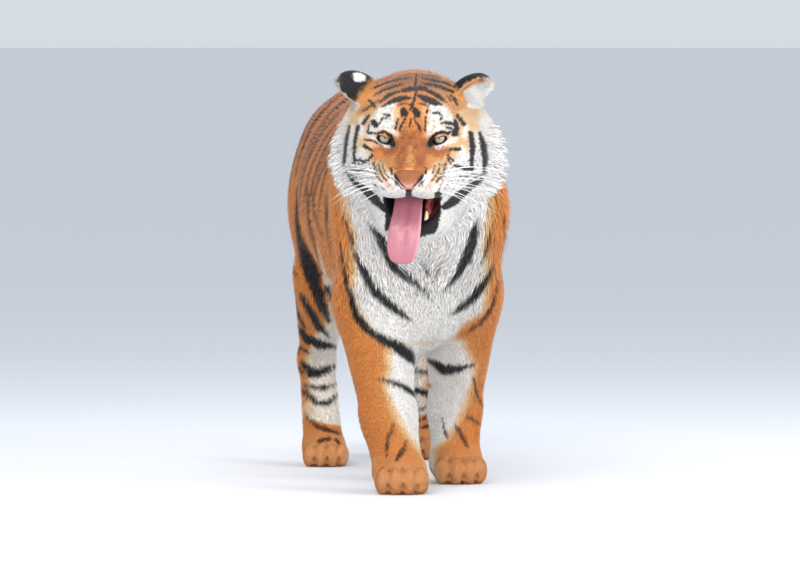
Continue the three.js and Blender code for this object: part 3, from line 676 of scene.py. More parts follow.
# ---- Markings: strokes laid on the outline ----
VIEW_AZIMUTH, VIEW_ELEVATION = -7.2, 2.2  # the side that the charts are drawn from
AWAY_SHARE = 0.89  # how much of a squared distance away from a chart doesn't count
CHART_AHEAD = 420  # strokes start this far before their chart
CHART_REACH = 1500  # and are carried this far at most to meet the outline


def view_axes(azimuth, elevation):
    """Right, up and forward of someone who looks at the animal from that side."""
    a, e = math.radians(azimuth), math.radians(elevation)
    forward = -np.array([math.sin(a) * math.cos(e), -math.cos(a) * math.cos(e), math.sin(e)])
    right = unit(np.cross(forward, [0, 0, 1]))
    return right, np.cross(right, forward), forward


def chart(origin, step):
    """A flat sheet held up before the animal: strokes drawn on it in steps are carried straight on to it."""
    right, up, forward = view_axes(VIEW_AZIMUTH, VIEW_ELEVATION)
    return np.array(origin, float), right * step, up * step, forward, step


FACE = chart(from_head([0, -24, 0]), 2.232)
CHEST = chart([-60, -620, 560], 2.283)
HIND = chart([-118, 370, 200], 2.415)

# Each stroke is an ink and points of (right, up, half width), in the steps of its chart.
FACE_PATCHES = [
    ("gold", [(-28, -20, 6), (-18, -30, 6)]),
    ("gold", [(26, -20, 6), (18, -30, 6)]),
    ("rust", [(1, 12, 9), (0, 0, 11), (-1, -14, 15), (-2, -27, 16), (-2, -36, 12)]),
    ("rust", [(-14, -9, 7), (-26, -13, 6.5), (-37, -14, 3.5)]),
    ("rust", [(14, -9, 7), (26, -13, 6.5), (36, -13, 3.5)]),
    ("orange", [(1, 36, 9), (1, 25, 11), (1, 15, 9)]),
    ("gold", [(-2, -12, 2), (-2, -24, 4), (-3, -34, 5)]),
    ("cream", [(-54, 26, 7), (-62, 12, 7), (-64, -8, 7)]),
    ("gold", [(-44, 34, 5), (-52, 27, 4)]),
    ("gold", [(46, 33, 5), (56, 24, 4)]),
    ("cream", [(54, 24, 7), (64, 10, 6), (68, -6, 5)]),
    ("cream", [(-50, -2, 4), (-46, -8, 4)]),
    ("white", [(-20, 32, 4.5), (-28, 25, 9), (-34, 16, 8.5), (-42, 7, 5)]),
    ("white", [(-21, 22, 5), (-20, 10, 4), (-18.5, 3, 2.5)]),
    ("white", [(-28, 14, 5), (-25, 8, 4)]),
    ("white", [(27, 13, 5), (25, 7, 4)]),
    ("white", [(20, 33, 4.5), (28, 26, 9), (34, 16, 9), (40, 8, 5)]),
    ("white", [(19, 22, 4.5), (18, 10, 4), (17.5, 3, 2.5)]),
    ("cream", [(-15, 28, 2.5), (-15.5, 14, 2.2)]),
    ("cream", [(13, 28, 2.2), (14.5, 14, 2.2)]),
    ("white", [(-52, 20, 2.5), (-51, 4, 3.5)]),
    ("white", [(-61, 12, 3), (-62.5, -4, 3.5), (-64, -22, 3.5)]),
    ("white", [(54, 12, 3), (53, 2, 3)]),
    ("white", [(65.5, 6, 2.5), (67, -10, 3.5), (67.5, -30, 3.5)]),
    ("white", [(-50, -14, 5), (-53, -24, 7), (-50, -34, 7), (-40, -44, 6)]),
    ("white", [(50, -14, 5), (54, -24, 7), (52, -36, 7), (40, -48, 6)]),
    ("white", [(-66, 4, 2.5), (-67, -20, 5), (-72, -34, 8), (-60, -56, 8)]),
    ("white", [(68, 0, 2.5), (68, -18, 4), (80, -30, 6), (66, -58, 9)]),
    ("orange", [(-34, -17, 5), (-38, -22, 3)]),
    ("cream", [(-33, -30, 6.5), (-29, -40, 5)]),
    ("cream", [(27, -30, 7), (24, -41, 5)]),
    ("white", [(-24, -38, 3.6), (-16, -51, 4.5), (-8, -57, 3.2)]),
    ("white", [(18, -36, 3.2), (10, -51, 4.5), (2, -57, 3.2)]),
    ("white", [(-34, -52, 5), (-18, -57, 4), (16, -57, 4), (32, -52, 5)]),
    ("white", [(-38, -60, 5), (-30, -66, 4)]),
    ("white", [(36, -58, 5), (30, -64, 3.5)]),
    ("white", [(-42, 0, 2.0), (-33, -4.5, 2.8), (-24, -8.5, 2.0)]),
    ("white", [(25, -9.5, 2.0), (34, -5.5, 3.0), (43, -1, 2.4)]),
]
FACE_STROKES = [
    # Arcs over the brow
    ("dark", [(-30, 32, 0.7), (-19, 37.5, 2.5), (-9.5, 40, 2.6), (-2, 40, 1.2)]),
    ("dark", [(6, 43, 1.4), (13.5, 39.5, 3.0), (21, 36.5, 3.2), (30, 33, 0.7)]),
    ("dark", [(-10, 48, 1.6), (-2, 49.6, 2.8), (3, 49, 1.8), (6, 51, 2.6), (13, 50, 2.6), (18, 45, 0.8)]),
    ("dark", [(-33, 36, 0.9), (-24, 43.5, 2.2), (-14, 47, 1.4)]),
    ("dark", [(18, 47.5, 1.4), (27, 42, 2.2), (34, 36.5, 0.8)]),
    ("dark", [(-38, 44, 0.8), (-29, 49, 1.7), (-19, 52.5, 1.7), (-9.5, 55, 0.9)]),
    ("dark", [(10, 56, 0.9), (19.5, 54.5, 1.7), (29, 52, 1.9), (41, 47, 1.1)]),
    ("dark", [(-40, 51, 0.8), (-24, 58, 1.8), (-14, 60.5, 1.6), (-2, 62, 0.9)]),
    ("dark", [(10, 61.5, 0.9), (22, 59.5, 1.8), (32, 57, 1.6), (43, 52, 0.8)]),
    ("umber", [(-36, 57, 0.9), (-22, 63.5, 1.6), (-8, 66.5, 1.4), (2, 67, 0.9)]),
    ("umber", [(8, 66, 0.9), (20, 65, 1.6), (32, 61.5, 1.4), (40, 57, 0.8)]),
    ("umber", [(-30, 66, 1.0), (-14, 71, 1.6), (4, 72.5, 1.6), (20, 71, 1.5), (34, 66, 0.9)]),
    ("brown", [(-28, 40, 0.6), (-38, 36, 0.9), (-46, 30, 1.5), (-50, 28, 0.8)]),
    ("umber", [(-44, 39, 0.8), (-40, 35, 1.6), (-38, 31, 0.9)]),
    ("umber", [(39, 43, 0.8), (43, 39, 1.7), (46, 34, 0.8)]),
    ("brown", [(34, 45, 0.6), (39, 38, 0.9)]),
    ("umber", [(5, 70, 0.9), (3.5, 58, 1.0), (3, 51, 1.2)]),
    ("dark", [(3.5, 46, 1.0), (2, 38, 1.2), (-1, 31, 1.5), (-3, 27, 0.8)]),
    ("brown", [(-14, 33, 0.7), (-8, 34.5, 1.0), (-3, 33, 0.6)]),
    ("brown", [(6, 34, 0.6), (12, 34, 0.9), (17, 31, 0.6)]),
    # Spots and flames between the eyes
    ("dark", [(-9, 27.5, 2.6), (-8, 24, 3.2)]),
    ("dark", [(2, 28, 2.2), (4.5, 24, 3.2), (5.5, 20.5, 1.2)]),
    ("dark", [(15, 27.5, 0.9), (14.5, 25, 0.9)]),
    ("dark", [(-14, 19, 0.8), (-17, 9, 1.0)]),
    ("dark", [(-7, 19, 0.7), (-11, 12, 1.0), (-13, 7, 0.6)]),
    ("dark", [(2, 19, 0.8), (6, 12, 1.1), (9, 6, 0.6)]),
    ("dark", [(13.5, 20, 1.0), (13, 7, 0.8)]),
    ("dark", [(-1, 18, 0.8), (-2.5, 11, 0.6)]),
    # Above the eyes
    ("dark", [(-39.5, 15.5, 2.6), (-37, 13, 2.4)]),
    ("dark", [(-28.5, 23, 0.9), (-23, 22.5, 1.1), (-26.5, 19.5, 0.7), (-31, 18.5, 1.0), (-34, 13, 0.8)]),
    ("dark", [(-43.5, 13, 0.8), (-45.5, 6, 0.9), (-40, 4, 0.9)]),
    ("dark", [(21.5, 24.5, 0.9), (26, 25.5, 1.1), (29.5, 21.5, 1.1), (28.5, 17.5, 0.8)]),
    ("dark", [(29.5, 14.5, 0.9), (34, 15.5, 1.3), (41.5, 13, 1.7)]),
    ("dark", [(43.5, 17, 1.8), (45, 9, 2.6), (41, 2.5, 1.6), (47, 3, 0.8)]),
    ("dark", [(34, 10.5, 0.9), (40, 8.5, 1.2)]),
    # Rims of the lids and the dark corners by the nose
    ("black", [(-46, 4.8, 0.6), (-36, 4.2, 0.9), (-27, 5.6, 1.1), (-21.5, 1.5, 1.4), (-19, -7.5, 2.2)]),
    ("black", [(-34, 1.5, 0.9), (-29.5, -3.2, 1.0), (-22.5, -4.5, 1.5)]),
    ("black", [(17, -7.5, 2.2), (19.5, -1, 1.6), (24.5, 4.2, 1.2), (30, 5.4, 1.1), (36, 4, 1.2),
               (42, 7, 1.2)]),
    ("black", [(19.5, -5.5, 1.4), (28, -3.8, 1.0), (34.5, 0, 1.0)]),
    ("brown", [(-48, -2, 0.9), (-38.5, -3.0, 0.9), (-30, -9, 0.6)]),
    # Cheeks
    ("dark", [(-44.5, 22, 1.7), (-50, 15, 1.8)]),
    ("dark", [(46, 22, 1.7), (52.5, 14, 2.0)]),
    ("dark", [(-48.5, -8, 1.6), (-42, -12, 1.3)]),
    ("dark", [(-40, -17, 1.3), (-43, -21, 1.1)]),
    ("dark", [(38, -12, 0.9), (47.5, -11.5, 1.6)]),
    ("dark", [(34, -17, 0.7), (41.5, -23, 1.1)]),
    ("brown", [(35, -20, 0.6), (39, -26, 0.7)]),
    ("dark", [(-64.5, 12.5, 1.6), (-67.5, 0, 2.4), (-69, -14.5, 2.5), (-71, -25.5, 2.4)]),
    ("dark", [(-55, 11.5, 2.0), (-58, -2.5, 1.8), (-59, -17, 1.6), (-58.5, -23.5, 1.2)]),
    ("dark", [(59.5, 4, 2.4), (61, -10, 2.8), (60, -25.5, 1.8), (61, -31, 1.5)]),
    ("dark", [(69, 5, 1.8), (73, -7.5, 3.6), (75, -22, 3.6), (74, -34, 2.2)]),
    ("dark", [(41.5, -28, 0.8), (51, -30.5, 1.4), (61, -32, 1.7)]),
    ("dark", [(-60, -25, 0.7), (-53, -26.5, 0.8), (-46, -25, 0.6)]),
    ("dark", [(-58, -22, 0.9), (-50, -24, 1.2), (-44, -22.5, 0.7)]),
    ("grey", [(-64, -31, 0.8), (-55, -33.5, 1.1), (-47, -31, 0.6)]),
    ("grey", [(-72, -30, 0.7), (-66, -36, 1.3), (-57, -40, 0.9)]),
    ("grey", [(44, -37, 0.6), (54, -38.5, 1.1), (64, -37, 0.7)]),
    ("grey", [(58, -43, 0.8), (68, -38, 1.2), (76, -38, 0.7)]),
    ("dark", [(-70, -35, 1.2), (-60, -45, 3.0), (-47, -53.5, 4.2), (-38.5, -62, 4.4), (-29, -71, 2.4)]),
    ("dark", [(71.5, -43, 2.2), (62, -47.5, 3.2), (51, -56, 4.3), (41.5, -64, 4.3), (32, -70, 2.4)]),
    # Rows on the whisker pads
    ("brown", [(-38.5, -25, 0.9), (-38, -35, 0.8), (-31, -45, 0.7)]),
    ("brown", [(-34, -27, 0.7), (-31.5, -36, 0.8), (-26, -44, 0.6)]),
    ("brown", [(-30, -27, 0.5), (-28, -35, 0.6), (-23.5, -41, 0.5)]),
    ("brown", [(33.5, -26, 0.9), (32, -36, 0.8), (24, -45, 0.7)]),
    ("brown", [(28, -27, 0.7), (26, -36, 0.8), (20, -43.5, 0.6)]),
    ("brown", [(23, -28, 0.5), (20.5, -36, 0.6)]),
    ("grey", [(-37, -48, 0.5), (-35, -50, 0.5)]),
    ("grey", [(-30, -51, 0.5), (-28, -52.5, 0.5)]),
    ("grey", [(28, -51, 0.5), (26, -52.5, 0.5)]),
    # Edges of the nose, the cleft of the lip and the lips
    ("black", [(-21.5, -31, 0.9), (-19, -42, 1.3), (-10, -51, 1.3)]),
    ("black", [(14.5, -31, 0.9), (12, -42, 1.3), (2, -51, 1.3)]),
    ("black", [(-3.6, -50, 2.4), (-3.6, -59, 2.6)]),
    ("black", [(-27, -62, 2.6), (-24, -80, 2.6), (-25.5, -91, 2.2)]),
    ("black", [(26, -58, 3.2), (25, -76, 3.6), (21, -93, 3.2), (8, -98, 1.8)]),
    ("black", [(22, -82, 3.0), (16, -88, 4.0), (9, -92, 3.5)]),
]
CHEST_STROKES = [
    ("dark", [(-31, 22, 1.2), (-19, 5.5, 4.4), (-13.5, -8, 4.0), (-5.5, -22, 3.0), (12, -34, 2.6),
              (32, -51, 0.8)]),
    ("dark", [(-47, -8, 1.0), (-37, -24, 2.8), (-27, -44, 3.7), (-11.5, -58, 3.0), (0.5, -66, 2.5),
              (10.5, -74, 0.8)]),
    ("brown", [(-57, 31, 0.8), (-51, 11.5, 1.2), (-41, -16, 0.8)]),
    ("dark", [(-62, 11.5, 0.7), (-58, -18, 1.2), (-54, -42, 2.0), (-45, -69.5, 2.8), (-33, -83.5, 3.0),
              (-17, -93, 3.0), (-3.5, -99, 4.0), (8.5, -107, 4.8), (16.5, -118, 1.8)]),
    ("dark", [(76.5, 27, 1.5), (74.5, 13.5, 4.8), (67.5, -12, 4.0), (58, -30, 2.8), (46, -44, 0.8)]),
    ("dark", [(96.5, -18, 0.8), (89.5, -34, 2.6), (77.5, -50, 3.0), (64, -61.5, 2.8), (52, -68.5, 0.8)]),
    ("brown", [(102, -36, 0.8), (94.5, -61.5, 1.5), (81.5, -78.5, 1.7), (67.5, -87.5, 0.6)]),
    ("brown", [(93.5, 17.5, 0.8), (89.5, -2.5, 1.7), (83.5, -20, 0.6)]),
    ("brown", [(106, 33, 0.8), (107.5, -2.5, 1.2), (105, -34, 0.8)]),
    ("dark", [(22, -16, 0.6), (28, -26, 1.2), (34, -34, 0.6)]),
    ("grey", [(44, -10, 0.5), (38, -28, 0.9)]),
    # Forelegs
    ("dark", [(-22, -132, 0.8), (-7.5, -135, 1.7), (6.5, -141, 2.2), (18.5, -149, 2.4), (21, -158.5, 1.0)]),
    ("dark", [(26, -115, 1.2), (36, -120, 3.4), (44, -125, 4.2), (58, -124, 3.0), (75.5, -120, 0.8)]),
    ("brown", [(-13.5, -186, 0.6), (-13, -196, 1.3), (-14, -208, 0.6)]),
    ("brown", [(8, -194, 0.8), (2, -203, 1.9), (-4, -212, 0.8)]),
    ("brown", [(-6, -176, 0.6), (-9, -184, 1.0), (-12, -192, 0.6)]),
    ("brown", [(57, -182, 0.8), (63, -192, 2.0), (69, -201, 0.8)]),
    ("brown", [(75.5, -133, 0.6), (79.5, -150.5, 1.2), (87.5, -164.5, 0.7)]),
    ("brown", [(42, -176, 0.6), (47, -192, 1.2)]),
    ("brown", [(67, -173, 0.6), (76, -176, 1.0), (84, -181, 0.6)]),
]
# Edges of the white: rows of (up, right on one side, right on the other) in the chart of the chest
CHEST_EDGES = np.array([
    (-105, -8, 46), (-101, -11, 48), (-81, -33, 68), (-66, -43, 89), (-42, -48, 88), (-22, -46, 89),
    (8, -46, 86), (37, -55, 92), (60, -55, 92), (85, 40, -10),
])
# The same for a foreleg: up and right
FORELEG_EDGES = {
    "fore_right": np.array([
        (-215, 34), (-200, 17), (-180, 4), (-160, -7), (-141, -15), (-121, -11), (-100, -11)]),
    "fore_left": np.array([
        (-205, 34), (-195, 48), (-180, 57), (-160, 68), (-141, 74), (-121, 76), (-101, 66)]),
}
# Height of a place on a hind leg, and how far inwards of the leg's middle the white starts
HIND_EDGE = np.array([
    (92, 60), (112, -34), (200, -29), (250, -29), (290, -22), (332, 0), (427, 8), (523, 25), (600, 48)])
HIND_STROKES = [
    ("cream", [(-7, 138, 0.8), (-3, 120, 2.2), (2, 101, 3.2), (8.5, 82, 2.5)]),
    ("white", [(-4, 124, 0.6), (2, 103, 2.2), (8, 84, 2.2)]),
    ("umber", [(-29, 193, 2.0), (-30, 163, 2.8), (-27, 142, 4.5), (-20, 122, 6.5), (-13.5, 108, 7.0),
               (-5.5, 82, 5.0), (4.5, 60, 1.5)]),
    ("dark", [(-20, 122, 4.5), (-12, 102, 6.0), (-5, 80, 5.0), (5, 60, 1.5)]),
    ("umber", [(-18, 193, 1.6), (-16.5, 163, 2.2), (-9.5, 134, 2.0), (-5.5, 116, 1.0)]),
    ("umber", [(-12.5, 193, 1.2), (-10.5, 169, 1.6), (-1.5, 143.5, 1.0)]),
    ("brown", [(0.5, 187, 0.8), (2.5, 153.5, 1.3), (6.5, 128, 0.8)]),
    ("dark", [(2.5, 94, 2.2), (8.5, 82, 1.8)]),
    ("dark", [(-35, 90, 2.4), (-31, 74, 3.2), (-21.5, 54.5, 1.5)]),
    ("dark", [(-25, 86, 2.2), (-15.5, 70, 4.2), (-7.5, 56.5, 4.0), (4.5, 44.5, 1.0)]),
    ("dark", [(-29, 56.5, 2.6), (-19.5, 42.5, 4.4), (-3.5, 36.5, 4.2), (14.5, 34.5, 1.2)]),
    ("dark", [(-29, 36.5, 2.0), (-18.5, 29, 1.3)]),
    ("dark", [(-25, 19, 2.0), (-14.5, 9, 4.4), (-1.5, 11, 3.4), (16.5, 17, 0.8)]),
    ("dark", [(-21.5, -3, 1.0), (-3.5, -5, 2.2), (12.5, -2, 1.0)]),
    ("dark", [(-21.5, -8, 0.9), (-11.5, -18.5, 2.2), (2.5, -20.5, 2.6), (14.5, -12.5, 1.2), (18.5, -1, 0.7)]),
    ("brown", [(-21.5, -32.5, 0.8), (-9.5, -42.5, 2.0), (4.5, -46.5, 2.0), (16.5, -50.5, 1.0)]),
    ("brown", [(-5.5, -57, 2.2), (4.5, -55, 2.2)]),
    ("brown", [(11.5, -56.5, 1.7), (14.5, -59, 1.4)]),
]
HIND_LEFT = chart([114, 625, 200], 2.451)
HIND_LEFT_STROKES = [
    ("dark", [(8, -13, 2.8), (13.5, -14.5, 3.2), (31, -19.5, 3.4)]),
    ("umber", [(8, -36, 1.3), (13.5, -32.5, 1.4), (31, -28.5, 1.4)]),
    ("umber", [(8, -46, 1.3), (13.5, -42, 1.4), (29.5, -38.5, 1.4)]),
    ("umber", [(15.5, -50, 1.8), (24.5, -48, 1.8)]),
    ("umber", [(10, 6, 1.8), (20, 4, 1.8), (31, 1, 1.4)]),
]


def onto_outline(start, way, reach, steps=70):
    """Points carried along their ways until they meet the outline; one that misses stops at its nearest."""
    p, gone = start.astype(REAL), np.zeros(len(start))
    best, nearest = p.copy(), np.full(len(p), 1e9)
    for _ in range(steps):
        d = outline(p)
        closer = np.abs(d) < nearest
        best[closer], nearest[closer] = p[closer], np.abs(d)[closer]
        step = np.where((np.abs(d) < 0.4) | (gone > reach), 0, d * 0.8)
        p = p + way * step[:, None]
        gone += step
    return best


def on_chart(sheet, p):
    """How far right and up a place stands on a chart, in its steps."""
    origin, right, up, _, step = sheet
    q = p - origin
    return q @ right / step**2, q @ up / step**2


def drawn(strokes, sheet, broader=1.0):
    """Strokes of a chart as inks with points and half widths on the outline, in plan millimetres."""
    origin, right, up, forward, step = sheet
    made = []
    for ink, points in strokes:
        u, v, w = np.array(points, float).T
        at = np.linspace(0, len(u) - 1, 1 + int(np.hypot(np.diff(u), np.diff(v)).sum() / 3) + len(u))
        u, v, w = [np.interp(at, np.arange(len(u)), values) for values in (u, v, w)]
        start = origin + u[:, None] * right + v[:, None] * up - CHART_AHEAD * forward
        made.append((ink, onto_outline(start, forward, CHART_REACH), w * step * broader, forward))
    return made


def from_axis(centre, angles, widths, ink, reach=420):
    """A stroke round a level axis: each point is carried in from outside, at its angle from straight up."""
    out = np.stack([np.sin(angles), np.zeros(len(angles)), np.cos(angles)], 1)
    return ink, onto_outline(centre + reach * out, -out, reach), widths, None


def flank_strokes(seed=5):
    """Stripes down both sides of neck and trunk, at uneven steps, each slanting, wavering and often doubled;
    few and short on the neck and shoulders, close and long on the flanks."""
    rng = np.random.default_rng(seed)
    made = []
    for side in (-1, 1):
        y = -610.0
        while y < 590:
            ahead = y < -390
            doubled = rng.random() < (0.3 if ahead else 0.6)
            first = rng.uniform(0.03, 0.2)
            last = rng.uniform(0.8, 1.3) if ahead else rng.uniform(1.75, 2.3)
            last = min(last, rng.uniform(1.5, 1.8)) if y > 330 else last
            for offset in ((-19, 19) if doubled else (0,)):
                t = np.linspace(0, 1, 22)
                a = first + (last - rng.uniform(0, 0.35) - first) * t
                bow = offset * np.sin(math.pi * t) * 1.3
                centre = np.stack([np.zeros(22), y + bow + 34 * t + 9 * np.sin(5 * t + rng.uniform(0, 6)),
                                   np.full(22, 640.0)], 1)
                width = rng.uniform(7.5, 10.5) * (1.0 if doubled else 1.4) * (0.5 if ahead else 1.0)
                widths = width * np.sin(math.pi * np.clip(t * 0.92 + 0.04, 0, 1)) ** 0.6 + 0.8
                made.append(from_axis(centre, side * a, widths, "umber" if y < 150 else "dark"))
            y += rng.uniform(70, 100) if ahead else rng.uniform(78, 104)
    return made


def leg_ring(name, side, z, rise, angles, widths, away, reach):
    """A stroke round a leg: each point is carried in from outside, at its angle from straight ahead."""
    out = np.stack([side * np.sin(angles), -np.cos(angles), np.zeros(len(angles))], 1)
    start = np.array([*leg_axis(name, z), z]) + away * out
    start[:, 2] += rise
    return "dark", onto_outline(start, -out, reach), widths, None


def ring_strokes(seed=8):
    """Bands round the outer sides of the hind legs, and a few short ones inside the forelegs."""
    rng = np.random.default_rng(seed)
    made = []
    for name, first, last, count in (("hind_right", 150, 450, 7), ("hind_left", 340, 450, 3)):
        for z in np.linspace(first, last, count):
            t = np.linspace(0, 1, 20)
            angles = np.linspace(rng.uniform(0.9, 1.2), rng.uniform(2.5, 3.0), 20)
            widths = rng.uniform(5.5, 8.5) * np.sin(math.pi * np.clip(t, 0.04, 0.96)) ** 0.7
            rise = 26 * np.sin(2.4 * t + 0.4)
            made.append(leg_ring(name, side_of(name), z, rise, angles, widths, 260, 330))
    for name in ("fore_left", "fore_right"):
        for z in (285, 225):
            t = np.linspace(0, 1, 12)
            widths = 5.5 * np.sin(math.pi * np.clip(t, 0.05, 0.95)) + 0.4
            made.append(leg_ring(name, -side_of(name), z, 0, 1.2 + 1.6 * t, widths, 200, 230))
    return made


def painted(colours, p, strokes, inks, soft, ragged):
    """Strokes over base colours. A stroke covers what lies nearer its line than its half width, which wavers.
    For one drawn on a chart, the part of a distance that runs away from the chart counts by a third."""
    waver = ragged * ripple(p, 9.0, 11) + 0.6 * ragged * ripple(p, 4.0, 12)
    for ink, line, widths, forward in strokes:
        room = (widths.max() + 3 * soft + ragged) * (1 if forward is None else 2.5)
        near = ((p > line.min(0) - room) & (p < line.max(0) + room)).all(1).nonzero()[0]
        if not len(near):
            continue
        q = p[near]
        edge = np.full(len(q), 1e9)
        for a, b, wa, wb in zip(line, line[1:], widths, widths[1:]):
            axis = b - a
            t = np.clip((q - a) @ axis / (axis @ axis + 1e-9), 0, 1)
            gap = q - a - t[:, None] * axis
            far = dot(gap, gap)
            if forward is not None:
                far = far - AWAY_SHARE * (gap @ forward) ** 2
            edge = np.minimum(edge, np.sqrt(np.maximum(far, 0)) - (wa + (wb - wa) * t))
        cover = ramp(edge + waver[near], soft, -soft)
        colours[near] = mixed(colours[near], inks[ink], cover)
    return colours


class Markings:
    """Colours of the coat as a function of place. The skin and the tufts both ask it."""

    def __init__(self, inks):
        self.inks = inks
        self.body = (flank_strokes() + ring_strokes() + drawn(HIND_STROKES, HIND, 1.2)
                     + drawn(HIND_LEFT_STROKES, HIND_LEFT) + drawn(CHEST_STROKES, CHEST, 1.4))
        self.patches = drawn(FACE_PATCHES, FACE)
        self.face = drawn(FACE_STROKES, FACE, 1.25)

    def over(self, colours, *layers):
        """Inks laid over colours in turn, each a name and how much of it covers each place."""
        return layered(colours, *[(self.inks[ink], share) for ink, share in layers])

    def plain(self, ink, count):
        """One ink for that many places."""
        return np.tile(np.array(self.inks[ink]), (count, 1))

    def whitened(self, colours, edge, on, gold, cream, white):
        """White inside an edge, after bands of gold and cream; each ink runs from its first distance to its
        second."""
        return self.over(colours, ("gold", 0.8 * ramp(edge, *gold) * on), ("cream", ramp(edge, *cream) * on),
                         ("white", ramp(edge, *white) * on))

    def ground(self, p):
        """Colour under the markings: orange above and outside, white below and inside, tawny on the back."""
        x, y, z = p.T
        waver = 18 * ripple(p, 120, 21) + 9 * ripple(p, 45, 22)
        level = np.clip(y, -610, 570)
        height = (z - bottom_line(level)) / (top_line(level) - bottom_line(level))
        belly = ramp(height + waver / 500, 0.20, 0.06) * ramp(height, -0.12, -0.06)
        belly *= ramp(y, -420, -350) * ramp(y, 340, 250)
        belly *= 1 - ramp(np.abs(x), 84, 112) * np.maximum(ramp(y, 120, 200), ramp(y, -190, -250))
        groin = ramp(np.abs(x) + 0.6 * waver, 84, 56) * ramp(z, 600, 540) * (y > 250)
        colours = self.over(
            self.plain("orange", len(p)),
            # Tawny on the back from the middle to the hips: partly the coat's own tone, partly painted shade.
            ("tawny", 0.7 * ramp(z + waver, 640, 860) * ramp(y, -420, -120)),
            ("tawny", 0.6 * ramp(z + waver, 800, 900) * ramp(y, -380, -460)),
            ("white", np.maximum(belly, groin)))

        u, v = on_chart(CHEST, p)
        left, right = [np.interp(v, CHEST_EDGES[:, 0], CHEST_EDGES[:, i]) for i in (1, 2)]
        edge = np.minimum(u - left, right - u) + waver / 12
        front = ramp(y, -330, -420) * ramp(z, 312, 326) * (1 - ramp(x, 86, 106) * ramp(y, -480, -440))
        colours = self.whitened(colours, edge, front, (-13, -3), (-7, 1), (-1, 7))
        for name in LEGS:
            outer = side_of(name)
            cx, cy = leg_axis(name, z)
            own = (np.sign(x) == outer) * (np.abs(y - cy) < 230)
            if name in FORELEG_EDGES:
                rows = FORELEG_EDGES[name]
                edge = (u - np.interp(v, rows[:, 0], rows[:, 1])) * -outer + waver / 12
                below = own * ramp(z, 345, 325)
                colours = self.whitened(colours, edge, below, (-18, -4), (-8, 1), (-1, 6))
            else:
                edge = (cx - x) * outer + 0.4 * waver - np.interp(z, HIND_EDGE[:, 0], HIND_EDGE[:, 1])
                below = own * ramp(z, 600, 560) * (y > 150)
                # White held below full on the hind legs, leaving them pinkish cream: partly their own tone,
                # partly painted shade.
                colours = self.over(colours, ("cream", ramp(edge, -14, 2) * below),
                                    ("white", 0.78 * ramp(edge, -4, 14) * below))
            colours = self.over(colours, ("cream", 0.3 * own * ramp(z, 110, 40)))
        return self.tail(colours, p)

    def tail(self, colours, p):
        """Rings down the tail, pale below, with a black tip."""
        on = (p[:, 1] > 690).nonzero()[0]
        if len(on):
            q = p[on]
            i = np.clip(nearest_on_tail(q), 1, len(TAIL_POINTS) - 2)
            along = TAIL_POINTS[i + 1] - TAIL_POINTS[i - 1]
            t = i + dot(q - TAIL_POINTS[i], along) / dot(along, along) * 2
            below = dot(q - TAIL_POINTS[i], np.array([0, 0.75, -0.65]))
            ring = np.sin(t * 2 * math.pi / 1.9 + 0.8 * ripple(q, 60, 31))
            c = self.over(colours[on], ("cream", 0.8 * ramp(below, -8, 16)),
                          ("dark", ramp(ring, 0.15, 0.45) * ramp(t, 1.4, 3.0)),
                          ("dark", ramp(t, 16.3, 16.8)))
            colours[on] = mixed(colours[on], c, ramp(q[:, 1], 690, 730))
        return colours

    def head_ground(self, p, h):
        """Head under its markings: orange crown and brow, cream temples, white cheeks, jaw and throat."""
        wide, y, z = np.abs(h[:, 0]), h[:, 1], h[:, 2]
        waver = 7 * ripple(p, 60, 41) + 3 * ripple(p, 22, 42)
        return self.over(
            self.plain("gold", len(p)),
            ("orange", ramp(wide + waver, 52, 20) * ramp(z, 30, 60)),
            ("tawny", 0.6 * ramp(y, 70, 150) * ramp(z, 40, 90)),
            ("cream", 0.7 * ramp(wide + waver, 58, 96) * ramp(z + waver, 80, 20)),
            ("white", 0.9 * ramp(wide + waver, 120, 150) * ramp(z, 70, 0)),
            ("white", ramp(z + waver, -28, -62) * ramp(wide, 40, 60)),
            ("white", ramp(z + waver, -78, -98)))

    def flecks(self, colours, p, h):
        """Fine mottling of the muzzle and brow and grey flecks on the cheeks, lips and throat."""
        wide, y, z = np.abs(h[:, 0]), h[:, 1], h[:, 2]
        fine, wider = ripple(p, 6, 43), ripple(p, 17, 44)
        bridge = ramp(wide, 42, 26) * ramp(z, 62, 30) * ramp(z, -64, -50) * ramp(y, 60, 20)
        crown = ramp(z + 6 * wider, 70, 106) * ramp(y, 10, 60)
        brow = ramp(wide, 26, 36) * ramp(wide, 106, 90) * ramp(z, 14, 26) * ramp(z, 84, 70) * ramp(y, 50, 20)
        cheek = ramp(wide, 52, 66) * ramp(z, -28, -48) * ramp(z, -150, -110) * ramp(y, 60, 20)
        lips = ramp(wide, 58, 40) * ramp(z, -62, -76) * ramp(z, -140, -110)
        throat = ramp(z, -150, -190) * ramp(y, 40, 0)
        return self.over(
            colours,
            ("brown", 0.42 * bridge * ramp(fine + 0.8 * wider, 0.15, 1.1)),
            ("gold", 0.35 * bridge * ramp(fine + 0.5 * wider, -0.2, -1.0)),
            ("umber", 0.45 * crown),
            ("grey", 0.4 * brow * ramp(fine + wider, 0.5, 1.3)),
            ("gold", 0.4 * brow * ramp(fine - wider, 0.5, 1.3)),
            ("grey", (0.7 * cheek + 0.35 * lips) * ramp(ripple(p, 10, 45) + 0.4 * fine, 0.45, 0.9)),
            ("grey", 0.4 * throat * ramp(ripple(p, 16, 46) + 0.4 * fine, 0.7, 1.1)))

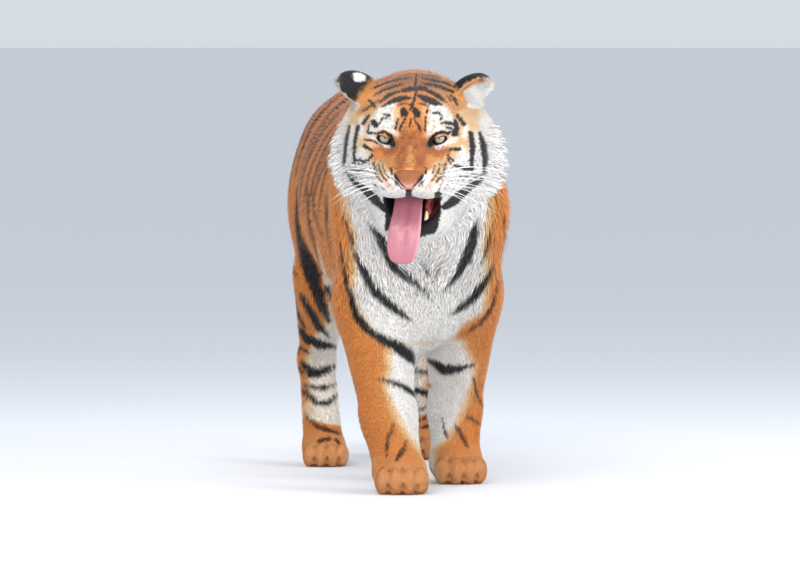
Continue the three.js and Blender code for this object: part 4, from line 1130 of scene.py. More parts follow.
    def ears(self, colours, h):
        """Ears: black behind with a white spot, white inside, orange at the base."""
        for ear in EARS:
            e = in_ear(ear, h)
            rough = 2.5 * ripple(e, 16, 91)
            on = ramp(EAR_SHELL[0](e), 16, 8)
            inside = ramp(EAR_HOLLOW[0](e) + rough, 10.5, 7)
            spot = ramp(np.hypot((e[:, 0] + rough) / 20, (e[:, 2] - 48 + rough) / 15), 1.15, 0.85)
            fringe = ramp(e[:, 1] + 2 * rough, -2, -12) * ramp(e[:, 0], -24, 6)
            back = self.over(self.plain("black", len(h)), ("white", spot), ("cream", fringe))
            colours = mixed(colours, back, on * ramp(e[:, 2] + rough, 18, 32) * (1 - inside))
            colours = self.over(colours, ("white", on * inside * ramp(e[:, 2], -10, 6)),
                                ("gold", on * inside * ramp(e[:, 0] + 2 * rough, -8, -20)))
        return colours

    def __call__(self, p):
        """Ground colours, patches, strokes, and last the bare parts round the eyes and mouth."""
        h = to_head(p)
        colours = painted(self.ground(p), p, self.body, self.inks, 2.4, 2.6)
        reach = np.sqrt(dot(h, h))
        on = ((reach < HEAD_HAIR) & (h[:, 1] < 190)).nonzero()[0]
        if len(on):
            q, k = p[on], h[on]
            c = painted(self.head_ground(q, k), q, self.patches, self.inks, 6.0, 3.5)
            c = painted(self.flecks(c, q, k), q, self.face, self.inks, 1.5, 1.5)
            colours[on] = mixed(colours[on], self.ears(c, k), ramp(k[:, 1], 175, 140))
        a = mirrored(h)
        rim = np.maximum(ramp(LID_OPENING[0](a), 4.5, 2.5), ramp(EYE_CORNER[0](a), 4.0, 1.5)) * (reach < 130)
        mouth = MOUTH[0](h)
        lip = (reach < 320) & (h[:, 1] < 70)
        deep = lip * ramp(mouth, 2.4, 0.8) * ramp(h[:, 1], -84, -60) * ramp(h[:, 0], 0, 12)
        # Black rims of the lids and black lips; the lips' black carries on over the inside of the open mouth
        # as painted shade, flecked with gum.
        colours = self.over(
            colours, ("black", rim), ("black", lip * ramp(mouth, 6.0, 3.0) * ramp(h[:, 2], -86, -96)),
            ("gum", 0.4 * deep * ramp(ripple(p, 30, 51), 0.0, 0.8)))
        return np.clip(colours, 0, 1)


# ---- Lie of the coat ----
def lie(p, n):
    """Way that the hair points, along the skin: back and down the trunk, down the legs and chest, along the
    tail, and away from the nose on the head."""
    x, y, z = p.T
    none, one = np.zeros(len(p)), np.ones(len(p))
    way = np.stack([none, one, -0.35 - 0.55 * ramp(z, 880, 700)], 1)
    way = mixed(way, [0, 0.12, -1], ramp(z, 560, 400))
    front = np.stack([-0.22 * np.sign(x) * ramp(np.abs(x), 0, 60), none, -one], 1)
    way = mixed(way, front, ramp(y, -380, -520) * ramp(z, 820, 640) * ramp(z, 300, 380))
    way = mixed(way, [0, -1, -0.5], ramp(z, 90, 50))
    on = y > 700
    if on.any():
        i = np.minimum(nearest_on_tail(p[on]), len(TAIL_POINTS) - 2)
        way[on] = unit(TAIL_POINTS[i + 1] - TAIL_POINTS[i])
    h = to_head(p)
    ruff = ramp(np.abs(h[:, 0]), 70, 130) * ramp(h[:, 2], 40, -60)
    out = unit(h - np.array([0, -135, -60], REAL))
    out = out + ruff[:, None] * np.stack([0.5 * np.sign(h[:, 0]), 0.1 * one, -0.9 * one], 1)
    for ear in EARS:
        out = mixed(out, ear[1][2], ramp(from_ear(ear, h), 66, 44))
    way = mixed(way, unit(out) @ HEAD.T, ramp(h[:, 1], 200, 130) * ramp(dot(h, h), 320**2, 270**2))
    return unit(way - dot(way, n)[:, None] * n).astype(REAL)


def bare(p):
    """1 where the skin shows: lids' edges, nose, lips and mouth."""
    h = to_head(p)
    near = np.maximum(ramp(LID_OPENING[0](mirrored(h)), 3.5, 1.5), ramp(MOUTH[0](h), 9, 6))
    near = np.maximum(near, ramp(blend_all(NOSE, h), 3.5, 1.5))
    return near * (dot(h, h) < HEAD_ROOM**2)


def ear_fluff(p):
    """1 deep in the cup of an ear, where the hair is long and loose."""
    h = to_head(p)
    fluff = np.zeros(len(p), REAL)
    for ear in EARS:
        e = in_ear(ear, h)
        cup = ramp(EAR_HOLLOW[0](e), 6, 3) * ramp(EAR_SHELL[0](e), 14, 8)
        fluff = np.maximum(fluff, cup * ramp(e[:, 2], -12, 2))
    return fluff * (dot(h, h) < HEAD_HAIR**2)


def tuft_length(depth):
    """Hair of a coat that deep: 2.1 times its depth and 2.6 mm more."""
    return 2.6 + 2.1 * depth


def tuft_width(length):
    """Width of a tuft at its root: 0.7 mm and 7% of its length."""
    return 0.7 + 0.07 * length


# ---- Meshes in Blender ----
def piece(name, points, triangles, colours, material, slot, *solids, uv=None):
    """A smooth piece at the origin from points in plan millimetres, with their colours and unwrap; it gets
    its material and its body, and the solids that it stands for are hidden. The slot is not used."""
    mesh = bpy.data.meshes.new(name)
    mesh.vertices.add(len(points))
    mesh.vertices.foreach_set("co", to_row(points).ravel())
    mesh.loops.add(triangles.size)
    mesh.loops.foreach_set("vertex_index", triangles.astype(np.int32).ravel())
    mesh.polygons.add(len(triangles))
    mesh.polygons.foreach_set("loop_start", np.arange(0, triangles.size, 3, dtype=np.int32))
    mesh.polygons.foreach_set("use_smooth", np.full(len(triangles), True))
    rgba = np.ones((len(points), 4), REAL)
    rgba[:, :3] = colours
    tint = mesh.color_attributes.new("Tint", "FLOAT_COLOR", "POINT")
    tint.data.foreach_set("color", rgba.ravel())
    mesh.update(calc_edges=True)
    if uv is not None:
        unwrap = mesh.uv_layers.new(name="OFBake")
        unwrap.data.foreach_set("uv", uv[triangles.ravel()].astype(REAL).ravel())
    mesh.validate()
    mesh.materials.append(material)
    obj = bpy.data.objects.new(name, mesh)
    bpy.context.scene.collection.objects.link(obj)
    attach(obj, "root")
    if solids:
        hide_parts(*solids)


def ring_triangles(rings, sides):
    """Triangles between rings of points that follow one another."""
    i, j = np.meshgrid(np.arange(rings - 1), np.arange(sides), indexing="ij")
    a, b = i * sides + j, i * sides + (j + 1) % sides
    quads = np.stack([a, b, b + sides, a + sides], -1).reshape(-1, 4)
    return np.concatenate([quads[:, [0, 1, 2]], quads[:, [0, 2, 3]]])


def round_angles(sides):
    return np.arange(sides) / sides * 2 * math.pi


def globe(rings, sides):
    """Directions over a sphere, their angles from its front and round it, and the triangles between them."""
    t, f = np.meshgrid(np.linspace(0, math.pi, rings), round_angles(sides), indexing="ij")
    t, f = t.ravel(), f.ravel()
    way = np.stack([np.sin(t) * np.cos(f), -np.cos(t), np.sin(t) * np.sin(f)], -1)
    return way, t, f, ring_triangles(rings, sides)


def sweep(stations, rings, sides, thickness, crease=0.0):
    """Strap along stations in the head's frame: an oval across its path, with a crease along the middle of
    its upper side, closed by rounded ends. Gives points, triangles, each point's place along and round the
    strap, and the way out from its path."""
    last = len(stations) - 1
    at = path_through(stations)
    t = np.linspace(0, 1, rings)
    centre, radius = at(t * last)
    ahead, behind = at(np.minimum(t * last + 0.02, last))[0], at(np.maximum(t * last - 0.02, 0))[0]
    across = unit(np.cross(unit(ahead - behind), [1.0, 0.0, 0.0]))
    closing = np.sqrt(np.clip(1 - np.clip((t - 0.93) / 0.07, 0, 1) ** 2, 0, 1))
    closing = closing * np.sqrt(np.clip(t / 0.02, 0, 1))
    angle = round_angles(sides)
    c, s = [np.sign(v) * np.abs(v) ** 0.8 for v in (np.cos(angle), np.sin(angle))]
    dip = 1 - crease * np.exp(-((np.cos(angle) / 0.16) ** 2))
    wide = radius[:, None] * closing[:, None] * c
    high = (thickness(radius) * closing)[:, None] * (s * dip)
    points = np.stack([centre[:, :1] + wide, centre[:, 1:2] + high * across[:, 1:2],
                       centre[:, 2:] + high * across[:, 2:]], -1).reshape(-1, 3)
    points, t = from_head(points), np.repeat(t, sides)
    outward = unit(points - from_head(at(t * last)[0]))
    return points, ring_triangles(rings, sides), t, np.tile(angle, rings), outward


# ---- Materials ----
def linear(r, g, b):
    """Screen colour, 0 to 255, as linear light."""
    return tuple((v / 255) ** 2.2 for v in (r, g, b))


def set_inputs(node, values):
    """Constant values of a node's sockets."""
    for socket, value in values.items():
        node.inputs[socket].default_value = value


def grain_group():
    """Fine hair or skin grain: fractal noise on Object coordinates, as a tint of a colour and as a height."""
    if "Fine grain" in bpy.data.node_groups:
        return bpy.data.node_groups["Fine grain"]
    group = bpy.data.node_groups.new("Fine grain", "ShaderNodeTree")
    for name, way, kind in (
        ("Color", "INPUT", "Color"), ("Scale", "INPUT", "Float"), ("Amount", "INPUT", "Float"),
        ("Color", "OUTPUT", "Color"), ("Height", "OUTPUT", "Float"),
    ):
        group.interface.new_socket(name, in_out=way, socket_type="NodeSocket" + kind)
    given, out, place, noise, span, tint = [group.nodes.new(kind) for kind in (
        "NodeGroupInput", "NodeGroupOutput", "ShaderNodeTexCoord", "ShaderNodeTexNoise", "ShaderNodeMapRange",
        "ShaderNodeMix")]
    set_inputs(noise, {"Detail": 4})
    set_inputs(span, {"From Min": 0.3, "From Max": 0.7, "To Min": 0.72, "To Max": 1.22})
    tint.data_type, tint.blend_type = "RGBA", "MULTIPLY"
    for source, output, target, socket in (
        (place, "Object", noise, "Vector"), (given, "Scale", noise, "Scale"), (noise, "Fac", span, "Value"),
        (given, "Amount", tint, "Factor"), (given, "Color", tint, "A"), (span, "Result", tint, "B"),
        (tint, "Result", out, "Color"), (noise, "Fac", out, "Height"),
    ):
        group.links.new(source.outputs[output], target.inputs[socket])
    return group


def tinted_material(name, roughness, grain, amount, bump, coat=0.0, specular=0.5, sheen=0.0):
    """Surface coloured by its Tint attribute, with fine grain in colour and bump."""
    material = bpy.data.materials.new(name)
    material.use_nodes = True
    nodes, link = material.node_tree.nodes, material.node_tree.links.new
    shader, attribute = nodes["Principled BSDF"], nodes.new("ShaderNodeAttribute")
    attribute.attribute_name = "Tint"
    group, relief = nodes.new("ShaderNodeGroup"), nodes.new("ShaderNodeBump")
    group.node_tree = grain_group()
    set_inputs(group, {"Scale": grain, "Amount": amount})
    set_inputs(relief, {"Strength": bump, "Distance": 0.002})
    set_inputs(shader, {"Roughness": roughness, "Coat Weight": coat, "Coat Roughness": 0.04,
                        "Specular IOR Level": specular, "Sheen Weight": sheen})
    link(attribute.outputs["Color"], group.inputs["Color"])
    link(group.outputs["Color"], shader.inputs["Base Color"])
    link(group.outputs["Height"], relief.inputs["Height"])
    link(relief.outputs["Normal"], shader.inputs["Normal"])
    return material


# ---- Settings ----
def colour_property(name, description, value):
    return bpy.props.FloatVectorProperty(
        name=name, description=description, default=linear(*value), subtype="COLOR", size=3, min=0, max=1)


class TigerCoatSettings(bpy.types.PropertyGroup):
    cell: bpy.props.FloatProperty(
        name="Skin cell", description="Size of the skin's facets on head and paws", default=0.004, min=0.003,
        max=0.012, unit="LENGTH")
    tufts: bpy.props.IntProperty(
        name="Tufts", description="Number of tufts in the whole coat", default=300000, min=1000, max=340000)
    locks: bpy.props.IntProperty(
        name="Locks", description="Number of long bent locks on chest, throat and ruff", default=9000, min=0,
        max=40000)
    orange: colour_property("Orange", "Upper side of the coat", (226, 142, 70))
    tawny: colour_property("Tawny", "Back and crown", (212, 132, 76))
    rust: colour_property("Rust", "Bridge of the nose", (180, 102, 48))
    cream: colour_property("Cream", "Temples and pads", (240, 202, 152))
    white: colour_property("White", "Cheeks, chest, belly and inner legs", (247, 243, 237))
    dark: colour_property("Stripe", "Stripes", (24, 19, 24))
    brown: colour_property("Brown stripe", "Thin stripes", (92, 52, 32))


class TigerEyeSettings(bpy.types.PropertyGroup):
    iris: colour_property("Iris", "Iris", (150, 150, 128))
    pupil: bpy.props.FloatProperty(
        name="Pupil", description="Half angle of the pupil seen from the eye's middle",
        default=math.radians(9), min=0.05, max=0.6, subtype="ANGLE")


class TigerMouthSettings(bpy.types.PropertyGroup):
    tongue: colour_property("Tongue", "Tongue", (172, 106, 117))
    tooth: colour_property("Tooth", "Enamel", (238, 214, 160))
    crease: bpy.props.FloatProperty(
        name="Crease", description="Depth of the tongue's middle crease, as a share of its thickness",
        default=0.35, min=0, max=0.8)


class TigerWhiskerSettings(bpy.types.PropertyGroup):
    count: bpy.props.IntProperty(
        name="Whiskers", description="Whiskers on each side", default=16, min=0, max=40)
    length: bpy.props.FloatProperty(
        name="Length", description="Longest whisker", default=0.135, min=0.02, max=0.3, unit="LENGTH")


class TigerStageSettings(bpy.types.PropertyGroup):
    distance: bpy.props.FloatProperty(
        name="Camera distance", description="From the camera to the animal", default=17.0, min=3, max=60,
        unit="LENGTH")
    lens: bpy.props.FloatProperty(
        name="Lens", description="Focal length in millimetres on a 36 mm frame", default=332.8, min=35,
        max=800)
    floor: colour_property("Floor", "Floor and background", (232, 233, 236))


# ---- Pieces ----
SIDES = ("right", "left")
FLESH = [
    "neck", "trunk_front", "trunk_middle", "trunk_rear", "tail_1", "tail_2", "tail_3", "head", "face",
    "lower_jaw",
    *[f"{part}_{side}" for part in ("ear", "shoulder", "forearm", "forepaw", "thigh", "shank", "hindpaw")
      for side in SIDES],
]
COATS = [*[f"coat_{part}_{side}" for part in ("face", "crown", "chest", "trunk", "fore", "hind")
           for side in SIDES], "coat_tail"]
NUMBER = {name.removeprefix("coat_"): number for number, name in enumerate(COATS)}
PATCH = 0.0015  # half a tuft's patch on the unwrap
SHOWN = 0.9  # the share of the coat's depth at which its colour is read
CLEARANCE = 0.3  # least height of hair above the floor
FINE_EDGES = (3.4, 2.2)  # near the eyes and nose, longer edges of the skin are split, once for each
NOSE_TIP, LIP_HEIGHT = np.array([0, -130, -78]), -125
EYE_ROOM, NOSE_ROOM = 34, 36  # how far from the eyes' middles and the nose's tip that goes
MADE = {}


def coat_inks(settings):
    """Named colours of the coat, in linear light."""
    named = ("orange", "tawny", "rust", "cream", "white", "dark", "brown")
    return {name: tuple(getattr(settings, name)) for name in named} | {
        "gold": linear(222, 152, 84), "black": linear(22, 18, 24), "grey": linear(120, 112, 112),
        "umber": linear(46, 28, 26), "gum": linear(150, 62, 60)}


class TIGER_OT_skin(bpy.types.Operator):
    """One skin over trunk, neck, legs, tail and head"""

    bl_idname = "tiger.skin"
    bl_label = "Skin"

    def execute(self, context):
        settings = context.scene.tiger_coat
        points, triangles = skin_surface(settings.cell * 1000)
        for limit in FINE_EDGES:
            h = to_head(points)
            eye = np.sqrt(((mirrored(h) - EYE_AT) ** 2).sum(1))
            nose = np.sqrt(((h - NOSE_TIP) ** 2).sum(1))
            close = (eye < EYE_ROOM) | ((nose < NOSE_ROOM) & (h[:, 2] > LIP_HEIGHT))
            points, triangles = refine(points, triangles, close, limit)
        h = to_head(points)
        near = (dot(h, h) < 170**2).nonzero()[0]
        points[near] = onto(skin, points[near], steps=2, reach=1.5)
        normals = smooth_normals(points, triangles)
        markings = Markings(coat_inks(settings))
        depth = coat_depth(points)
        tint = markings(points + normals * (SHOWN * depth)[:, None])
        # Painted shade: the skin is darker where the coat over it is deep.
        tint *= (1 - 0.18 * ramp(depth, 3, 10))[:, None]
        material = tinted_material("Skin and short hair", 0.72, 900, 0.55, 0.35, specular=0.25)
        piece("skin", points, triangles, tint, material, "coat", *FLESH)
        MADE.update(points=points, triangles=triangles, normals=normals, markings=markings)
        return {"FINISHED"}


def scattered(points, triangles, normals, weight, count, rng):
    """Random places on triangles, in number by area times weight: each is its triangle's corners, mixed."""
    a, b, c = [points[triangles[:, i]] for i in range(3)]
    area = 0.5 * np.sqrt((np.cross(b - a, c - a) ** 2).sum(1))
    share = area * weight[triangles].mean(1)
    number = count * share / share.sum()
    number = (number + rng.random(len(number))).astype(int)
    which = np.repeat(np.arange(len(triangles)), number)
    u, v = np.sqrt(rng.random(len(which))), rng.random(len(which))
    mix = np.stack([1 - u, u * (1 - v), u * v], 1).astype(REAL)
    corners = triangles[which]
    at = (points[corners] * mix[..., None]).sum(1)
    n = unit((normals[corners] * mix[..., None]).sum(1)).astype(REAL)
    return at.astype(REAL), n


def combed(p, n, rng):
    """Lie of the hair with the sway of locks and the stray of single tufts."""
    way = lie(p, n)
    side = np.cross(n, way)
    depth = coat_depth(p)
    loose = np.interp(depth, [1, 8, 24], [0.5, 0.8, 1.25])
    sway = loose * (0.20 * ripple(p, 70, 61) + 0.16 * ripple(p, 26, 62) + 0.10 * rng.normal(size=len(p)))
    way = unit(way + side * sway[:, None]).astype(REAL)
    return way, np.cross(n, way).astype(REAL), depth


def region_of(p):
    """Number of the coat piece that a root belongs to, and its place on that part's own unwrap: round the
    part's axis and along it, and for the head by the angle from its front."""
    h = to_head(p)
    x, y, z = p.T
    region = np.where(y < -400, NUMBER["chest_right"], NUMBER["trunk_right"]) + (x > 0)
    low = z < 400
    for name in LEGS:
        at_end = (y > 150) == name.startswith("hind")
        region[low & ((x < 0) == (side_of(name) < 0)) & at_end] = NUMBER[name]
    region[y > 705] = NUMBER["tail"]
    region[low & (y > 560) & (y < 860) & (x > 65) & (x < 215)] = NUMBER["hind_left"]
    head = (h[:, 1] < 172) & (dot(h, h) < HEAD_HAIR**2)
    face = np.where(h[:, 1] > 30, NUMBER["crown_right"], NUMBER["face_right"]) + (h[:, 0] > 0)
    region = np.where(head, face, region)

    def turn(across, ahead):
        return np.arctan2(across, ahead) / (2 * math.pi) + 0.5

    uv = np.stack([turn(x, z - 650), (y + 700) / 1500], 1)
    for name in LEGS:
        on = region == NUMBER[name]
        cx, cy = leg_axis(name, z[on])
        uv[on] = np.stack([turn(x[on] - cx, y[on] - cy), z[on] / 420], 1)
    on = region == NUMBER["tail"]
    i = nearest_on_tail(p[on])
    q = p[on] - TAIL_POINTS[i]
    uv[on] = np.stack([turn(q[:, 0], q[:, 1]), (i + 0.5 + q[:, 1] / 90) / 20], 1)
    c = h - np.array([0, 60, -30])
    wide = np.hypot(c[:, 0], c[:, 2])
    disc = 0.5 + 0.5 * (np.arctan2(wide, -c[:, 1]) / math.pi / wide)[:, None] * c[:, [0, 2]]
    uv[head] = disc[head]
    return region, np.clip(uv, 0.004, 0.996)


def spikes(p, n, way, side, length, width, lift):
    """Closed flat spikes of four faces: two root corners, a raised back a third of the way along and a tip.
    The tip stands lift above the skin and the line from root to tip is straight."""
    tip = p + way * length[:, None] + n * lift[:, None]
    back = p + way * (0.3 * length)[:, None] + n * (0.3 * lift + 0.32 * width)[:, None]
    left, right = p - side * (width / 2)[:, None], p + side * (width / 2)[:, None]
    points = np.stack([left, right, back, tip], 1)
    faces = np.array([[0, 2, 3], [2, 1, 3], [1, 0, 3], [0, 1, 2]])
    return points, faces[:, ::-1], np.array([0.0, 0.0, 0.35, 1.0])


def bent_locks(p, n, way, side, length, width, lift):
    """Closed locks of ten faces: three-cornered sections at the root and at half length and a tip that turns
    back towards the skin."""
    rows = []
    for share, grow, up in ((0.0, 0.8, 0.0), (0.5, 1.0, 0.75)):
        c = p + way * (share * length)[:, None] + n * (up * lift)[:, None]
        half = (0.5 * grow * width)[:, None]
        rows += [c - side * half, c + side * half, c + n * (0.7 * half)]
    rows.append(p + way * length[:, None] + n * (0.92 * lift)[:, None])
    faces = np.array([[0, 2, 5], [0, 5, 3], [2, 1, 4], [2, 4, 5], [1, 0, 3], [1, 3, 4], [3, 5, 6], [5, 4, 6],
                      [4, 3, 6], [0, 1, 2]])
    return np.stack(rows, 1), faces[:, ::-1], np.array([0, 0, 0, 0.45, 0.45, 0.5, 1.0])


class TIGER_OT_coat(bpy.types.Operator):
    """Tufts and locks of hair over the skin, in one piece for each part of the body"""

    bl_idname = "tiger.coat"
    bl_label = "Coat"

    def execute(self, context):
        if "points" not in MADE:
            raise RuntimeError("The coat grows on the skin, which is made first.")
        settings = context.scene.tiger_coat
        points, triangles, normals = MADE["points"], MADE["triangles"], MADE["normals"]
        rng = np.random.default_rng(17)
        depth = coat_depth(points)
        length = tuft_length(depth)
        haired = (1 - bare(points)) * (points[:, 2] > 1.5)
        long_hair = ramp(depth, 11.5, 13) * (to_head(points)[:, 1] < 260)
        front = 1 + 0.8 * ramp(points[:, 1], -300, -420)
        weight = haired * front / (length * tuft_width(length))
        material = tinted_material("Hair", 0.62, 500, 0.35, 0.0, specular=0.3, sheen=0.15)
        made = []
        for shape, count, keep, longer, wider in (
            (spikes, settings.tufts, weight, 1, 1),
            (bent_locks, settings.locks, haired * long_hair, 1.1, 1.15),
        ):
            at, n = scattered(points, triangles, normals, keep, count, rng)
            way, side, deep = combed(at, n, rng)
            long = tuft_length(deep) * rng.uniform(0.75, 1.2, len(at))
            wide = tuft_width(long) * rng.uniform(0.75, 1.2, len(at)) * wider
            long = long * longer
            lift = deep * rng.uniform(0.72, 1.0, len(at)) + 0.4
            stray = 1 + (rng.random(len(at)) < 0.12) * rng.uniform(0.2, 0.9, len(at)) * ramp(deep, 8, 12)
            fluff = ear_fluff(at) * rng.uniform(0.5, 1.0, len(at))
            long, lift = long + 13 * fluff, lift * stray + 8 * fluff
            hair = shape(at, n, way, side, *[v.astype(REAL) for v in (long, wide, lift)])
            made.append(self.coloured(hair, at, n, way, deep, long, rng))
        for number, name in enumerate(COATS):
            vertices, faces, tints, uvs, base = [], [], [], [], 0
            for shapes, corners, colours, patches, region in made:
                on = region == number
                count, each = on.sum(), shapes.shape[1]
                faces.append((corners + (base + each * np.arange(count))[:, None, None]).reshape(-1, 3))
                vertices.append(shapes[on].reshape(-1, 3))
                tints.append(colours[on].reshape(-1, 3))
                uvs.append(patches[on].reshape(-1, 2))
                base += count * each
            vertices, faces, tints, uvs = [np.concatenate(rows) for rows in (vertices, faces, tints, uvs)]
            if len(vertices):
                piece(name, vertices, faces, tints, material, "coat", uv=uvs)
        return {"FINISHED"}

    def coloured(self, shape, at, n, way, deep, long, rng):
        """Vertices with the markings' colours, darker at the root and lighter at the tip, partly the hair's
        own banding and partly painted shade deep in the coat, and their patches."""
        vertices, faces, along = shape
        height = n * (SHOWN * deep)[:, None]
        low, tip = [MADE["markings"](at + height + way * (share * long)[:, None]) for share in (0.35, 0.8)]
        # A random tone for each tuft, and a ramp from root to tip that is partly the hair's banding and
        # partly painted shade.
        tone_and_root_shade = rng.normal(1.0, 0.08, (len(at), 1, 1)) * (0.82 + 0.26 * along)[None, :, None]
        turn = np.clip(along * 1.6 - 0.6, 0, 1)[None]
        tints = np.clip(mixed(low[:, None], tip[:, None], turn) * tone_and_root_shade, 0, 1)
        region, uv = region_of(at)
        corner = np.array([[-1, -1], [1, -1], [0, 0], [0, 1], [0.5, 0.5], [-0.5, 0.5], [0, 1]])
        patches = uv[:, None] + PATCH * corner[None, :vertices.shape[1]]
        vertices[..., 2] = np.maximum(vertices[..., 2], CLEARANCE)
        return vertices, faces, tints, patches, region


class TIGER_OT_eyes(bpy.types.Operator):
    """Eyeballs with a round pupil, a streaked iris and a bulging cornea"""

    bl_idname = "tiger.eyes"
    bl_label = "Eyes"

    def execute(self, context):
        settings = context.scene.tiger_eyes
        way, t, f, triangles = globe(72, 96)
        swell = 1 + 0.05 * np.clip(1 - (t / math.radians(34)) ** 2, 0, 1)
        ball_points = EYE_RADIUS * swell[:, None] * way
        streak = 0.85 + 0.18 * np.sin(23 * f) * np.sin(9 * f + 1) + 0.10 * np.sin(51 * f + 2)
        iris = np.array(settings.iris) * (streak * (1.12 - 0.35 * ramp(t, 0.22, 0.6)))[:, None]
        colours = np.where((t < settings.pupil)[:, None], np.array(linear(8, 8, 10)), iris)
        colours = mixed(colours, linear(30, 22, 18), ramp(t, math.radians(33), math.radians(38)))
        material = tinted_material("Wet eye", 0.25, 400, 0.15, 0.0, coat=1.0)
        gaze = turned(4, -14, 0)
        for name in SIDES:
            points = from_head(ball_points @ gaze.T + EYE_AT * [side_of(name), 1, 1])
            piece("eyeball_" + name, points, triangles, colours, material, "eye", "eye_" + name)
        return {"FINISHED"}


class TIGER_OT_nose(bpy.types.Operator):
    """Nose leather with its comma-shaped nostrils"""

    bl_idname = "tiger.nose"
    bl_label = "Nose leather"

    def execute(self, context):
        nostril = [bone([33, -136, -50], [23, -145, -68], 1.8, 4.4)[0],
                   bone([23, -145, -68], [9, -148, -80], 4.4, 2.2)[0]]
        cleft = bone([0, -152, -72], [0, -146, -96], 1.6, 1.6)[0]

        def leather(h):
            a = mirrored(h)
            d = blend_all(NOSE, h)
            for carve in (*nostril, cleft):
                d = smooth_max(d, -carve(a), 2.5)
            return d

        way, _, _, triangles = globe(90, 140)
        centre = np.array([0, -124, -64])
        reach = np.full(len(way), 46.0)
        for _ in range(40):
            reach -= 0.7 * leather((centre + way * reach[:, None]).astype(REAL))
        points = centre + way * np.clip(reach, 2, 60)[:, None]
        a = mirrored(points.astype(REAL))
        fur, pink, brown = linear(146, 86, 46), linear(200, 142, 122), linear(112, 60, 38)
        pale, black = linear(222, 214, 208), linear(24, 18, 24)
        waver = 3 * ripple(a, 14, 73)
        speck = ramp(ripple(a, 6.0, 71) + 0.7 * ripple(a, 3.5, 72), 0.1, 1.1)
        edge = np.minimum(nostril[0](a), nostril[1](a))
        groove = np.interp(a[:, 2], [-80, -68, -50, -44], [9, 23, 33, 38])
        # Black in the nostrils is painted shade of their deep openings; black along the lower edge is the lip
        # line.
        colours = layered(
            np.tile(fur, (len(a), 1)), (pink, ramp(a[:, 2] + waver, -56, -76)), (brown, 0.6 * speck),
            (pale, ramp(a[:, 0] - groove, 2, 5)), (black, ramp(edge, 3.4, 1.2)),
            (black, ramp(a[:, 2] + 0.3 * a[:, 0], -78, -84)))
        material = tinted_material("Nose leather", 0.55, 1100, 0.5, 0.7)
        piece("nose_leather", from_head(points), triangles, colours, material, "nose_leather", "nose")
        return {"FINISHED"}


TONGUE = [
    ([-5, 55, -100], 29), ([-9, -5, -132], 31), ([-12, -46, -172], 33), ([-16, -76, -202], 36),
    ([-20, -88, -240], 35), ([-22, -88, -278], 24),
]
LOWER_CANINE = [
    ([30, -38, -214], 7.5), ([30, -40, -196], 6.5), ([31, -38, -180], 4.5), ([31, -35, -168], 1.5),
]
LOWER_GUM = [([34, 34, -118], 6), ([36, 4, -146], 8), ([33, -22, -176], 9), ([30, -36, -204], 8)]


class TIGER_OT_mouth(bpy.types.Operator):
    """Tongue with its crease and papillae, the canine beside it and the gum that it stands in"""

    bl_idname = "tiger.mouth"
    bl_label = "Tongue, tooth and gum"

    def execute(self, context):
        settings = context.scene.tiger_mouth
        points, triangles, t, angle, outward = sweep(
            TONGUE, 140, 96, lambda r: np.full(len(r), TONGUE_THICKNESS / 2), settings.crease)
        pebble = 0.5 * ripple(points, 5.0, 81) + 0.5 * ripple(points, 3.0, 82)
        across = np.cos(angle)
        middle = np.exp(-((across / 0.12) ** 2)) * ramp(t, 0.85, 0.5) * ramp(np.sin(angle), -0.2, 0.4)
        # Darker along the middle crease and towards the root inside the mouth: painted shade. Paler along one
        # edge: painted highlight. Pale specks: papillae.
        colours = layered(
            np.tile(np.array(settings.tongue), (len(t), 1)), (linear(168, 84, 98), 0.5 * middle),
            (linear(220, 164, 172), 0.45 * ramp(across, 0.72, 0.95)),
            (linear(166, 88, 102), 0.5 * ramp(t, 0.55, 0.25)),
            (linear(212, 148, 158), 0.3 * ramp(pebble, 0.3, 0.9)))
        damp = tinted_material("Damp tongue", 0.38, 700, 0.25, 0.35, coat=0.25)
        piece("tongue_body", points + outward * (0.35 * pebble)[:, None], triangles, colours, damp, "tongue",
              "tongue")

        points, triangles, t, *_ = sweep(LOWER_CANINE, 40, 28, lambda r: r)
        enamel_colour = np.tile(np.array(settings.tooth), (len(t), 1))
        colours = mixed(enamel_colour, linear(206, 150, 90), ramp(t, 0.45, 0.1))
        enamel = tinted_material("Enamel", 0.22, 300, 0.2, 0.05, coat=0.5)
        piece("tooth_lower_left", points, triangles, colours, enamel, "tooth", "lower_canine_left")

        points, triangles, t, _, outward = sweep(LOWER_GUM, 60, 28, lambda r: 0.8 * r)
        lump = ripple(points, 14, 83)
        colours = mixed(np.tile(linear(172, 84, 82), (len(t), 1)), linear(130, 44, 50), ramp(lump, 0.2, -0.6))
        piece("gum_lower_left", points + outward * (1.1 * lump)[:, None], triangles, colours, damp, "tongue")
        return {"FINISHED"}


def whisker(root, way, length, droop, thick, rings, sides):
    """Points of a tapering hair in the head's frame that droops and bends back along its length: its rings,
    then the middles of its ends."""
    t = np.linspace(0, 1, rings)
    angle = round_angles(sides)[None, :, None]
    line = root + (t * length)[:, None] * unit(way)
    line[:, 2] -= droop * length * t**2
    line[:, 1] += 0.18 * length * t**2
    tangent = unit(np.gradient(line, axis=0))
    u = unit(np.cross(tangent, [0.1, 0.2, 1.0]))
    v = np.cross(tangent, u)
    radius = (thick * (1 - 0.75 * t))[:, None, None]
    tube = line[:, None] + radius * (np.cos(angle) * u[:, None] + np.sin(angle) * v[:, None])
    return from_head(np.concatenate([tube.reshape(-1, 3), line[:1], line[-1:]]))


def whisker_triangles(rings, sides):
    ring, each = np.arange(sides), rings * sides
    after, last = (ring + 1) % sides, each - sides
    return np.concatenate([
        ring_triangles(rings, sides), np.stack([after, ring, np.full(sides, each)], -1),
        np.stack([last + ring, last + after, np.full(sides, each + 1)], -1)])


